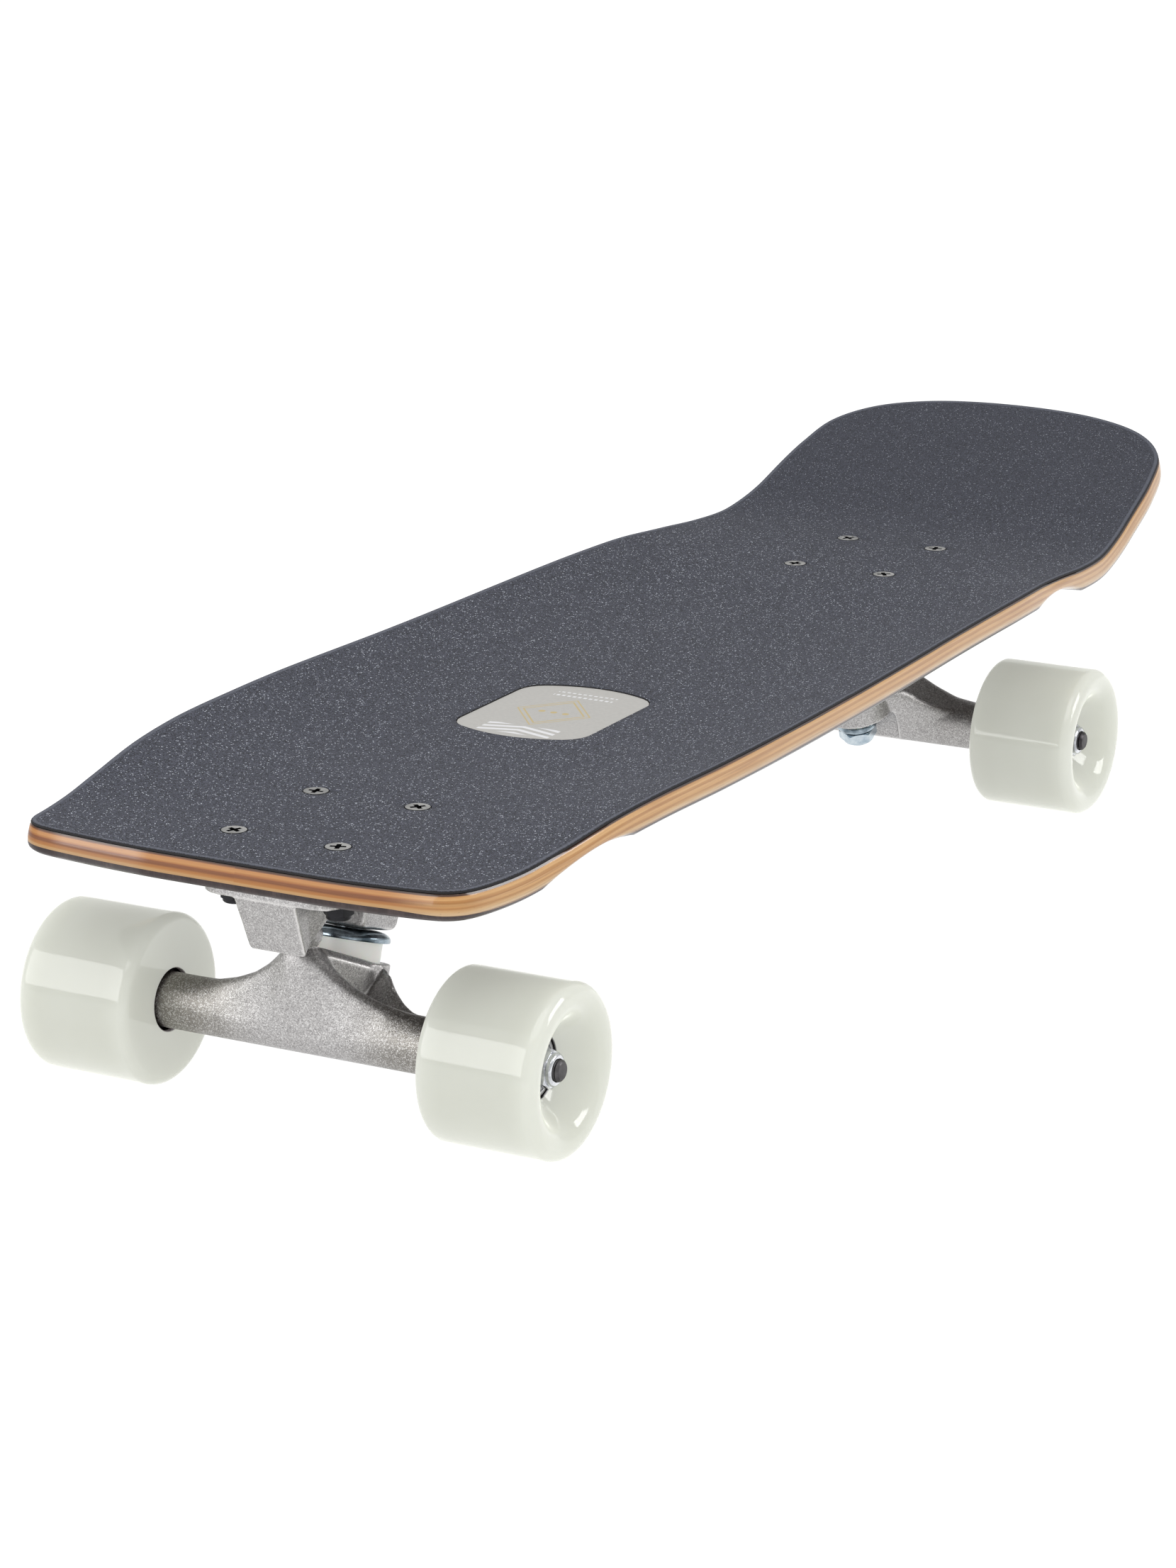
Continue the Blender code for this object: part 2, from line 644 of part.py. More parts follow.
def oval(low, low_r, high, high_r, y, count=20):
    """The outline around two circles, blended, as a section at one width."""
    points = []
    for i in range(count):
        a = 2 * math.pi * i / count
        d = Vector((math.cos(a), math.sin(a)))
        reach_low = low.dot(d) + low_r
        reach_high = high.dot(d) + high_r
        share = 1 / (1 + math.exp(-(reach_high - reach_low) / (0.7 * MM)))
        p = (low + d * low_r) * (1 - share) + (high + d * high_r) * share
        points.append((p.x, y, p.y))
    return points


def wall_sections(stations, low, low_r):
    """Sections across the truck from stations of (y, x, z, radius)."""
    both = [(-y, x, z, r) for y, x, z, r in reversed(stations)] + stations
    return [oval(low, low_r, Vector((x, z)) * MM, r * MM, y * MM) for y, x, z, r in both]


def build_hanger(bench):
    axle = Vector((AXLE.x, AXLE.z))
    end = HANGER_HALF / MM
    ax, az, br = AXLE.x / MM, AXLE.z / MM, BARREL_R / MM
    # arch that sweeps up from the barrel to the pivot
    shoulder = (48, ax, az + 5, br - 5)
    stations = ARCH_STATIONS + [shoulder, (end, ax, az, br)]
    arch = loft("hanger", wall_sections(stations, axle, BARREL_R), bench)
    # rear web from the ring's shoulder out to the barrel
    root = axle + Vector((-2.5, -2.0)) * MM
    stations = WEB_STATIONS + [(50, ax - 1, az, 7)]
    web = loft("web", wall_sections(stations, root, WEB_ROOT_R), bench)
    join(arch, web)
    # ring with its arm forward to the arch
    low = -RING_RIM - 1 * MM
    turn = Matrix.Rotation(math.pi / RING_SEGS, 4, "Z")
    ring = rod("ring", RING_R, low, RING_RIM, RING_SEGS, bench, PIN_FRAME @ turn)
    step = 0.1 * MM
    corners = []
    for x, half, rise in ARM_STATIONS:
        x, half, top = x * MM, half * MM, RING_RIM + rise * MM
        corners += [(x, half, low + step), (x, half, top - ARM_CHAMFER)]
        corners.append((x, half - ARM_CHAMFER, top - step))
    arm = hull("arm", both_sides(corners), bench)
    arm.data.transform(PIN_FRAME)
    join(arch, join(ring, arm))
    # pivot stem and ball
    tip = CUP_FACE + PIVOT_TIP
    ball = [(PIVOT_R * math.sin(a), tip + PIVOT_R * math.cos(a) * 0.9) for a in (0, 0.45, 0.9, 1.3)]
    stem = lathe("stem", ball + [
        (PIVOT_R, tip - 2 * MM), (PIVOT_R, CUP_FACE - 3 * MM), (5.9 * MM, CUP_FACE - 6 * MM),
        (6.2 * MM, CUP_FACE - 14 * MM), (0, CUP_FACE - 14 * MM),
    ], SEGS, bench, STEER_FRAME)
    join(arch, stem)

    # room for the road-side washer and nut while the hanger tilts
    room = lathe("room", [
        (0, -RING_RIM), (17.5 * MM, -RING_RIM), (17.5 * MM, -44 * MM), (0, -44 * MM),
    ], FINE_SEGS, bench)
    limit = hull("limit", both_sides([
        (x, 30 * MM, h) for x in (-40 * MM, ROAD_WASHER_R + 1.2 * MM) for h in (0, -50 * MM)
    ]), bench)
    combine(room, limit, "INTERSECT")
    room.data.transform(PIN_FRAME)
    cut(arch, room)
    seat_r = BUSH_R + 2 * FIT
    seats = lathe("seats", [
        (0, 40 * MM), (seat_r, 40 * MM), (seat_r, SEAT_HALF), (RING_BORE, SEAT_HALF),
        (RING_BORE, -SEAT_HALF), (seat_r, -SEAT_HALF), (seat_r, -RING_RIM - 2 * MM),
        (0, -RING_RIM - 2 * MM),
    ], FINE_SEGS, bench, PIN_FRAME)
    cut(arch, seats)
    cut(arch, rod("axle_bore", AXLE_R + FIT, -AXLE_HALF, AXLE_HALF, SEGS, bench, AXLE_FRAME))
    return arch


def cup_washer(name, radius, inner, height, sign, bench):
    """A washer with a lip around the bushing; sign turns the lip over."""
    hole = KINGPIN_R + FIT
    lip = 1.9 * MM
    profile = [
        (hole, CUP_WASHER_T), (radius - 2.2 * MM, CUP_WASHER_T),
        (radius - 0.6 * MM, CUP_WASHER_T * 0.55), (radius, -lip * 0.3),
        (radius - 0.2 * MM, -lip), (inner, -lip), (inner, 0), (hole, 0),
    ]
    return lathe(name, [(r, height + sign * h) for r, h in profile], FINE_SEGS, bench, PIN_FRAME)


def build_truck_parts(bench):
    hole = KINGPIN_R + FIT
    parts = {}
    parts["baseplate"] = build_baseplate(bench)
    parts["hanger"] = build_hanger(bench)
    cup_in = PIVOT_R + FIT
    tip = CUP_FACE + PIVOT_TIP
    hollow = [(cup_in * math.sin(a), tip + cup_in * math.cos(a) * 0.9) for a in (1.3, 0.9, 0.45, 0)]
    end = CUP_FACE + CUP_DEPTH
    parts["pivot_cup"] = lathe("pivot_cup", [
        (0, end), (CUP_END_R, end), (CUP_R, CUP_FACE),
        (CUP_R, CUP_FACE - 1.0 * MM), (cup_in + 0.8 * MM, CUP_FACE - 1.0 * MM), (cup_in, CUP_FACE),
        (cup_in, tip - 2 * MM),
    ] + hollow, SEGS, bench, STEER_FRAME)
    head_low = KINGPIN_HEAD_TOP - KINGPIN_HEAD_H
    pin_end = NUT_LOW - 1.4 * MM
    kingpin = lathe("kingpin", [
        (0, head_low + 1 * MM), (KINGPIN_R, head_low + 1 * MM), (KINGPIN_R, pin_end + 0.8 * MM),
        (KINGPIN_R - 0.8 * MM, pin_end), (0, pin_end),
    ], FINE_SEGS, bench, PIN_FRAME)
    head = rod("head", hex_radius(KINGPIN_AF), head_low, KINGPIN_HEAD_TOP, HEX, bench, PIN_FRAME)
    parts["kingpin"] = join(kingpin, head)
    nut = lock_nut("kingpin_nut", KINGPIN_AF, KINGPIN_NUT_H, hole, NUT_HIGH, bench)
    nut.data.transform(PIN_FRAME)
    parts["kingpin_nut"] = nut
    low, high = SEAT_HALF + FIT, SEAT_HALF + FIT + BUSH_BOARD_H
    parts["bushing_board"] = lathe("bushing_board", [
        (hole, high), (BUSH_R - 0.6 * MM, high), (BUSH_R, high - 1 * MM),
        (BUSH_R, low + 1 * MM), (BUSH_R - 0.8 * MM, low), (hole, low),
    ], FINE_SEGS, bench, PIN_FRAME)
    high, low = -SEAT_HALF - FIT, -SEAT_HALF - FIT - BUSH_ROAD_H
    parts["bushing_road"] = lathe("bushing_road", [
        (hole, high), (BUSH_R - 0.8 * MM, high), (BUSH_R, high - 1 * MM),
        (BUSH_R - 0.3 * MM, high - 3.4 * MM), (BUSH_ROAD_R, low + 2.2 * MM),
        (BUSH_ROAD_R - 0.4 * MM, low), (hole, low),
    ], FINE_SEGS, bench, PIN_FRAME)
    inner = BUSH_R + FIT
    parts["washer_board"] = cup_washer(
        "washer_board", BOARD_WASHER_R, inner, BOARD_WASHER_LOW, 1, bench)
    inner = BUSH_ROAD_R + 2 * FIT
    parts["washer_road"] = cup_washer(
        "washer_road", ROAD_WASHER_R, inner, ROAD_WASHER_HIGH, -1, bench)
    parts["axle"] = lathe("axle", [
        (0, AXLE_HALF), (AXLE_R - 0.7 * MM, AXLE_HALF), (AXLE_R, AXLE_HALF - 0.7 * MM),
        (AXLE_R, -AXLE_HALF + 0.7 * MM), (AXLE_R - 0.7 * MM, -AXLE_HALF), (0, -AXLE_HALF),
    ], SEGS, bench, AXLE_FRAME)
    return parts


def build_trucks(col, bench):
    cast = make_material("cast_aluminium", (0.50, 0.49, 0.49), 0.45, 0.9)
    zinc = make_material("zinc", (0.62, 0.68, 0.74), 0.25, 1.0)
    white = make_material("bushing_urethane", (0.86, 0.86, 0.85), 0.45)
    dark = make_material("pivot_urethane", (0.05, 0.05, 0.05), 0.5)
    steel = make_material("axle_steel", (0.55, 0.55, 0.56), 0.3, 1.0)
    mats = {
        "baseplate": cast, "hanger": cast, "axle": steel, "pivot_cup": dark,
        "bushing_board": white, "bushing_road": white, "kingpin": zinc,
        "kingpin_nut": zinc, "washer_board": zinc, "washer_road": zinc,
    }
    centres = {"hanger": RING, "axle": AXLE}
    parts = build_truck_parts(bench)
    plate_z = GRIP_Z - GRIP_T - FIT - DECK_T
    for name, source in parts.items():
        centre = centres.get(name, Vector())
        source.data.transform(Matrix.Translation(-centre))
        for end, sign, turn in (("front", 1, 0.0), ("rear", -1, math.pi)):
            obj = new_object("%s_%s" % (name, end), source.data.copy(), col)
            x = BOARD_X + sign * (BOLT_PATTERN_X / 2 + centre.x)
            obj.location = Vector((x, 0, plate_z + centre.z))
            obj.rotation_euler = (0, 0, turn)
            obj.data.materials.append(mats[name])
        bpy.data.objects.remove(source, do_unlink=True)


# Wheels
def wheel_profile():
    """Radius and distance from the wheel's inner face, out and round."""
    seat = BEARING_R + FIT
    seat_in = BEARING_IN_Y - WHEEL_IN_Y
    core_in = seat_in + BEARING_W + FIT
    core_out = core_in + BEARING_GAP - 2 * FIT
    seat_out = core_out + BEARING_W + 2 * FIT
    profile = [(seat + 1.8 * MM, 0.0)]
    profile += arc(WHEEL_R - LIP_IN, LIP_IN, LIP_IN, -90, 0, 3)
    profile += arc(WHEEL_R - LIP_OUT, WHEEL_W - LIP_OUT, LIP_OUT, 0, 90, 4)
    profile += [(r * MM, WHEEL_W - depth * MM) for r, depth in BOWL]
    profile += [(seat + 1.0 * MM, seat_out + 0.7 * MM), (seat, seat_out)]
    profile += [(seat, core_out), (CORE_R, core_out), (CORE_R, core_in)]
    return profile + [(seat, core_in), (seat, seat_in)]


def build_wheels(col, bench):
    urethane = make_material("wheel_urethane", (0.80, 0.82, 0.76), 0.2)
    steel = make_material("bearing_steel", (0.45, 0.45, 0.46), 0.3, 0.9)
    chrome = make_material("nut_chrome", (0.75, 0.76, 0.78), 0.15, 1.0)
    wheel = lathe("wheel", wheel_profile(), WHEEL_SEGS, bench)
    bore = AXLE_R + RUN
    half = BEARING_W / 2
    shield = half - 0.5 * MM
    side = [
        (bore, half), (6.2 * MM, half), (6.8 * MM, shield), (9.6 * MM, shield), (BEARING_R, half),
    ]
    bearing = lathe("bearing", side + [(r, -h) for r, h in reversed(side)], SEGS, bench)
    length = BEARING_GAP - 2 * FIT
    spacer = lathe("spacer", [
        (bore, length / 2), (SPACER_R, length / 2), (SPACER_R, -length / 2), (bore, -length / 2),
    ], SEGS, bench)
    nut = lock_nut("axle_nut", AXLE_NUT_AF, AXLE_NUT_H, AXLE_R + FIT, 0.0, bench)
    nut.data.transform(Matrix.Rotation(math.pi, 4, "X"))
    bearing_in = BEARING_IN_Y + half
    bearing_out = bearing_in + BEARING_W + BEARING_GAP
    pieces = (
        ("wheel", wheel, WHEEL_IN_Y, urethane), ("bearing_inner", bearing, bearing_in, steel),
        ("bearing_outer", bearing, bearing_out, steel),
        ("spacer", spacer, bearing_in + (BEARING_W + BEARING_GAP) / 2, steel),
        ("axle_nut", nut, bearing_out + half + FIT, chrome),
    )
    for end, sx in (("front", 1), ("rear", -1)):
        centre = Vector((BOARD_X + sx * (BOLT_PATTERN_X / 2 + AXLE_X), 0, WHEEL_R))
        for side_name, sy in (("left", 1), ("right", -1)):
            for kind, source, along, mat in pieces:
                obj = new_object("%s_%s_%s" % (kind, end, side_name), source.data.copy(), col)
                turn = Matrix.Rotation(-sy * math.pi / 2, 4, "X") @ Matrix.Translation((0, 0, along))
                obj.data.transform(turn)
                obj.location = centre
                obj.data.materials.append(mat)
    for source in (wheel, bearing, spacer, nut):
        bpy.data.objects.remove(source, do_unlink=True)


def shade_round(obj):
    """Smooth shading with sharp edges where two faces meet at an angle."""
    mesh = obj.data
    mesh.polygons.foreach_set("use_smooth", [True] * len(mesh.polygons))
    mesh.set_sharp_from_angle(angle=SHARP_ANGLE)


def main():
    clear_scene()
    col = make_collection("cruiser_skateboard")
    bench = make_collection("cutters")
    build_board(col, bench)
    build_trucks(col, bench)
    build_wheels(col, bench)
    for obj in col.objects:
        shade_round(obj)


main()
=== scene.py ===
"""Finish of the cruiser skateboard: grit sheet, maple plies, cast trucks and milky wheels.

The frame gives every CAD node in its place. A finer piece takes its sizes from
the node that it stands for, and rides on the same body.
"""

import json
import math

import bmesh
import bpy
import numpy as np
from mathutils import Matrix, Vector
from mathutils.kdtree import KDTree


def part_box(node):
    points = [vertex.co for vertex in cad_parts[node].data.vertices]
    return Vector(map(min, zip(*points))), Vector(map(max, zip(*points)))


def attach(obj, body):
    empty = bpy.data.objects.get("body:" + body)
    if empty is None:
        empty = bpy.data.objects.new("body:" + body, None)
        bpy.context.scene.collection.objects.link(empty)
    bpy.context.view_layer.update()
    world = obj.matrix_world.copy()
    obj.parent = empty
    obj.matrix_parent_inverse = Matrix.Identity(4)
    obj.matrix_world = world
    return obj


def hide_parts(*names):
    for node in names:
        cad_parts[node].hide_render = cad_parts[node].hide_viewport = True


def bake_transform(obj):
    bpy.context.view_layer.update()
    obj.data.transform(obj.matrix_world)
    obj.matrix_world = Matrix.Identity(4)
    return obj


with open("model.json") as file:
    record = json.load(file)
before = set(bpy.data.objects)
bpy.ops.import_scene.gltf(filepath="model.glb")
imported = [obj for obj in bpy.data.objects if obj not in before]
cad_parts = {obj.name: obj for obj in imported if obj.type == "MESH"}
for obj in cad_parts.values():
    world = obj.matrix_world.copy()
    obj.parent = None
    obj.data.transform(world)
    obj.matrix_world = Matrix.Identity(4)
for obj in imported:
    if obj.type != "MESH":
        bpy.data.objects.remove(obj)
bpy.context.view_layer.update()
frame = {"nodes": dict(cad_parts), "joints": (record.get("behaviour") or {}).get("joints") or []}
JOINTS = {joint["name"]: joint for joint in frame["joints"]}

MM = 0.001
WELD = 1e-6                         # points nearer than this are one
ENDS = ("front", "rear")
SIDES = ("left", "right")

# Deck, the same shape as in the part's source
NOSE_X = 283.5 * MM
TAIL_X = -390.0 * MM
BOARD_X = -(NOSE_X + TAIL_X) / 2    # moves the board's middle to x = 0
NOSE_END = NOSE_X + BOARD_X
TAIL_END = TAIL_X + BOARD_X
GRIP_Z = 103.0 * MM                 # griptape's face over the floor, at the bolts
GRIP_T = 0.9 * MM
GAP = 0.3 * MM                      # clearance between griptape and deck
DECK_T = 9.3 * MM
# half outline: x from the nose's end, from the middle and from the tail's end, with y
NOSE_OUTLINE = [
    (0, 0), (0, 33), (0.4, 58), (0.7, 75.8), (0.1, 79.8), (-1.8, 83.2), (-4.9, 85.8),
    (-8.4, 87.1), (-19.5, 89.4),
]
MIDDLE_OUTLINE = [
    (246, 92.3), (205, 97.3), (160, 101.1), (95, 103.3), (10, 101.8),
    (-90, 99.4), (-170, 97.0), (-206, 94.3), (-250, 92.3), (-300, 88.5),
]
TAIL_OUTLINE = [(50, 85.3), (29, 80.2), (14, 66.5), (4, 42), (0, 0)]
OUTLINE_STEP = 2.5 * MM
RAIL_STEP = 0.8 * MM
SPINE = (-322 * MM, 222 * MM)       # the rings start from this stretch of the middle line
RINGS = [0.0, 0.1, 0.2, 0.3, 0.4, 0.5, 0.58, 0.66, 0.74, 0.8, 0.86, 0.91, 0.95, 0.98, 1.0]
# rail and griptape's edge: outset from the outline, and depth, in millimetres
RAIL = [
    (-0.7, 0.0), (-0.25, 0.7), (0.2, 2.4), (0.62, 4.6), (0.76, 6.3), (0.4, 8.1), (-1.3, 9.3),
]
GRIP_EDGE = [(-0.9, 0.0), (-0.5, 0.9)]
# height of the edge over the middle, and half the width, along the board in millimetres
EDGE_RISE = [
    (-392, 0.1), (-350, 1.1), (-305, 2.3), (-285, 2.1), (-262, 1.15), (-245, 1.7),
    (-215, 4.2), (-188, 6.1), (-150, 7.1), (0, 7.8), (120, 8.7), (170, 8.6),
    (196, 7.3), (228, 3.7), (250, 1.65), (264, 1.5), (290, 3.2),
]
HALF_WIDTH = [
    (-390, 80), (-330, 86), (-250, 92.3), (-150, 97.6), (95, 103), (200, 97.6), (285, 88),
]
CENTRE_DIP = 1.5 * MM
DIP_X = (120 * MM, 182 * MM)        # the dip is whole up to the first and gone at the second
FLAT_SHARE = 0.3                    # share of the half width that stays flat
CONCAVE_POWER = 1.8
KICK_X = -266 * MM                  # the kick starts here, and bends over its run
KICK_RUN = 40 * MM
KICK_SLOPE = 0.353
# wheel wells, milled into the underside: middle, half length and depth, front and rear
WELLS = ((211.5 * MM, 28.5 * MM, 3.5 * MM), (-214 * MM, 29.5 * MM, 4.3 * MM))
WELL_IN = 22 * MM
STAIN_LINE = 7.5 * MM               # the stained bottom ply starts this far down the edge
THROUGH = 8 * MM                    # a cutter's reach past the griptape's face

# Label window: its middle along the board, half its sizes, and the radius of ends and corners
LABEL_X = 58.6 * MM
LABEL_HALF = (38.4 * MM, 27.5 * MM)
LABEL_END_R = 47 * MM
LABEL_CORNER = 12 * MM

# Deck bolts and nuts
BOLT_HOLE_R = 4.95 * MM
BOLT_HEAD_R = 4.65 * MM
BOLT_SHANK_R = 2.4 * MM
CROSS_LENGTH = 6.3 * MM
CROSS_WIDTH = 1.9 * MM
CROSS_DEPTH = 2.0 * MM
CROSS_FOOT = 0.55                   # share of the cross's size at its foot
BOLT_TURN = {
    "front_1": 20, "front_2": 65, "front_3": 50, "front_4": 5,
    "rear_1": 35, "rear_2": 80, "rear_3": 10, "rear_4": 55,
}
BEVEL_ANGLE = 0.7                   # edges that bend more than this, in radians, are bevelled
COLLAR_SHARE = 0.28                 # share of a nut's height that its collar takes
LOCKNUT_BORE = 2.45 * MM
KINGPIN_NUT_BORE = 4.9 * MM
AXLE_NUT_BORE = 4.15 * MM

# Trucks
LEAN = math.radians(18)             # kingpins, out of the upright
KINGPIN_R = 4.76 * MM
KINGPIN_HEAD = 6 * MM               # height of the kingpin's hex head
KINGPIN_THREAD = 12 * MM
KINGPIN_HOLE = 5.06 * MM
AXLE_THREAD = 10 * MM
THREAD_PITCH = 1.2 * MM
BUSHING_TIP_R = 7.6 * MM            # narrow end of the lower bushing
PIVOT_R = 5.3 * MM                  # inside of the pivot cup
VOXEL = 0.56 * MM                   # cell of the cast pieces' mesh
CREASE_BEND = math.radians(34)      # a casting's edges bend more than this
CREASE_STEP = 0.6 * MM
CREASE_KEPT = 0.6 * MM              # this near an edge nothing flows
FLOW_RUN = 2.4 * MM                 # past that, the flow grows to its full strength over this
FLOW_LEVELS = 10
FLOW_PASSES = 70
EDGE_PASSES = 3
EDGE_HIGHLIGHT_WIDTH = 1.1 * MM                # painted highlight along a casting's outer edges

# Wheels and bearings
WHEEL_HALF = 22.8 * MM              # half of a wheel's width
LIP_IN = 3.6 * MM                   # radius of the wheel's inner and outer lips
LIP_OUT = 4.6 * MM
BEARING_R = 11.0 * MM
SEAT_R = BEARING_R + 0.25 * MM
CORE_R = 7.6 * MM                   # bore between the bearing seats
SEAT_INNER = (7.4 * MM, 15.3 * MM)  # bearing seats, across the wheel from its inner side
SEAT_OUTER = (24.7 * MM, 32.3 * MM)
# bowl: radius and place across the wheel, in millimetres
BOWL = [
    (27.2, 45.55), (26.4, 45.6), (25.0, 45.45), (23.4, 45.0), (21.8, 44.2), (20.2, 42.9),
    (18.6, 40.9), (17.0, 38.7), (15.4, 36.6), (13.8, 34.8), (12.6, 33.5), (11.6, 32.9),
]
BOWL_STEP = 1.2 * MM
BEARING_HALF = 3.5 * MM
# bearing's side: radius, and depth under its flank, in millimetres
BEARING_SIDE = [
    (4.07, 0.2), (4.3, 0.0), (6.0, 0.0), (6.15, 0.15), (6.2, 0.7), (6.6, 0.8), (6.9, 0.45),
    (8.9, 0.45), (9.3, 0.8), (9.5, 0.1), (9.7, 0.0), (10.6, 0.0), (10.9, 0.1), (11.0, 0.4),
]

# Studio lamps: name, place, aim, size, power, and whether it lights matt surfaces
LAMPS = [
    ("side_softbox", (0.9, -0.45, 0.36), (0.3, 0.0, 0.05), (0.7, 0.5), 3.7, False),
    ("right_softbox", (-0.27, 1.0, 0.65), (0.25, 0.1, 0.05), (0.58, 0.46), 6.0, False),
    ("top_softbox", (0.7, 0.3, 1.5), (0.2, 0, 0.1), (1.6, 1.2), 9, True),
]
FLOOR_SIZE = 30
FLOOR_TONE = (0.92, 0.92, 0.92, 1)
FLOOR_GLOW = 1.2                    # strength of the white that the camera sees, and its share
FLOOR_GLOW_SHARE = 0.82
WORLD_LIGHT = 0.66

# Camera, solved from the photograph
CAMERA_PLACE = (1.56105, 0.77716, 0.55062)
CAMERA_HEADING = math.radians(117.75)
CAMERA_PITCH = math.radians(16.19)
CAMERA_ROLL = math.radians(0.27)
CAMERA_LENS = 104.2
CAMERA_SENSOR = 36
CAMERA_NEAR = 0.05


# Working tools
def deselect():
    bpy.ops.object.select_all(action="DESELECT")


def pick(obj):
    deselect()
    obj.select_set(True)
    bpy.context.view_layer.objects.active = obj


def place(obj, matrix):
    """Move the mesh itself, so that the object stays at the origin."""
    obj.data.transform(matrix)
    obj.data.update()


def modify(obj, kind, **settings):
    pick(obj)
    mod = obj.modifiers.new(kind.lower(), kind)
    for name, value in settings.items():
        setattr(mod, name, value)
    bpy.ops.object.modifier_apply(modifier=mod.name)


def bevel(obj, width):
    modify(
        obj, "BEVEL", width=width, segments=2, limit_method="ANGLE", angle_limit=BEVEL_ANGLE,
    )


def mend(obj, angle=35):
    """Close seams and poles, turn the faces outwards and shade the piece."""
    pick(obj)
    bpy.ops.object.mode_set(mode="EDIT")
    bpy.ops.mesh.select_all(action="SELECT")
    bpy.ops.mesh.remove_doubles(threshold=WELD)
    bpy.ops.mesh.dissolve_degenerate(threshold=WELD / 10)
    bpy.ops.mesh.select_all(action="SELECT")
    bpy.ops.mesh.normals_make_consistent(inside=False)
    bpy.ops.object.mode_set(mode="OBJECT")
    bpy.ops.object.shade_smooth_by_angle(angle=math.radians(angle))


def sheet(name, places, marks, angle):
    """A grid whose vertices are set row by row, with a UV for each of them."""
    rows, cols = places.shape[:2]
    deselect()
    bpy.ops.mesh.primitive_grid_add(x_subdivisions=cols - 1, y_subdivisions=rows - 1, size=1)
    obj = bpy.context.object
    obj.name = name
    mesh = obj.data
    mesh.vertices.foreach_set("co", np.ascontiguousarray(places, dtype=np.float32).ravel())
    corner = np.zeros(len(mesh.loops), dtype=np.int32)
    mesh.loops.foreach_get("vertex_index", corner)
    flat = np.ascontiguousarray(marks, dtype=np.float32).reshape(-1, 2)[corner]
    mesh.uv_layers[0].data.foreach_set("uv", flat.ravel())
    mend(obj, angle)
    return obj


def softened(profile, radius, steps=4, closed=False):
    """A profile with its corners rounded."""
    pts = [Vector(p) for p in profile]
    out = []
    for i, p in enumerate(pts):
        if not closed and i in (0, len(pts) - 1):
            out.append(tuple(p))
            continue
        before, after = pts[i - 1], pts[(i + 1) % len(pts)]
        cut = min(radius, (before - p).length * 0.49, (after - p).length * 0.49)
        a = p + (before - p).normalized() * cut
        b = p + (after - p).normalized() * cut
        for k in range(steps + 1):
            t = k / steps
            out.append(tuple(a * (1 - t) ** 2 + p * 2 * t * (1 - t) + b * t**2))
    return out


def turned(name, profile, axis, steps, angle=35):
    """Turn a profile of (radius, height) about the Z of a frame."""
    if profile[0][0] > WELD or profile[-1][0] > WELD:
        profile = list(profile) + [profile[0]]
    turn = np.linspace(0, 2 * math.pi, steps + 1)[:, None]
    radius = np.array([p[0] for p in profile]) * np.ones_like(turn)
    height = np.array([p[1] for p in profile]) * np.ones_like(turn)
    places = np.stack([radius * np.cos(turn), radius * np.sin(turn), height], axis=2)
    obj = sheet(name, places, np.stack([radius, height], axis=2), angle)
    place(obj, axis)
    return obj


def combine(obj, tool, operation="DIFFERENCE"):
    """Cut, join or meet a piece with a tool, which is used up."""
    modify(obj, "BOOLEAN", operation=operation, solver="EXACT", object=tool)
    bpy.data.objects.remove(tool, do_unlink=True)


def prism(name, outline, low, high):
    """A flat outline, extruded upwards."""
    deselect()
    bpy.ops.mesh.primitive_circle_add(vertices=len(outline), radius=1, fill_type="NGON")
    obj = bpy.context.object
    obj.name = name
    for vertex, (x, y) in zip(obj.data.vertices, outline):
        vertex.co = (x, y, low)
    bpy.ops.object.mode_set(mode="EDIT")
    bpy.ops.mesh.select_all(action="SELECT")
    bpy.ops.mesh.extrude_region_move(TRANSFORM_OT_translate={"value": (0, 0, high - low)})
    bpy.ops.object.mode_set(mode="OBJECT")
    mend(obj)
    return obj


def linked(name, data):
    obj = bpy.data.objects.new(name, data)
    bpy.context.scene.collection.objects.link(obj)
    return obj


def copied(source, name, matrix=Matrix()):
    """A copy of a piece with a mesh of its own."""
    obj = linked(name, source.data.copy())
    place(obj, matrix)
    return obj


def middle_of(node):
    low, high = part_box(node)
    return (low + high) / 2


def reach(node, axis):
    """Lowest and highest point of a CAD node along a frame's Z, and its radius."""
    inward = axis.inverted()
    pts = [inward @ v.co for v in frame["nodes"][node].data.vertices]
    heights = [p.z for p in pts]
    return min(heights), max(heights), max(math.hypot(p.x, p.y) for p in pts)


def axis_frame(origin, direction):
    """A frame at an origin with its Z along a direction."""
    turn = Vector(direction).to_track_quat("Z", "Y").to_matrix().to_4x4()
    return Matrix.Translation(origin) @ turn


# Finishes
def tone(red, green, blue):
    """A colour as the eye reads it, 0 to 255, as the shader wants it."""
    shares = [value / 255 for value in (red, green, blue)]
    linear = [s / 12.92 if s < 0.04045 else ((s + 0.055) / 1.055) ** 2.4 for s in shares]
    return (*linear, 1.0)


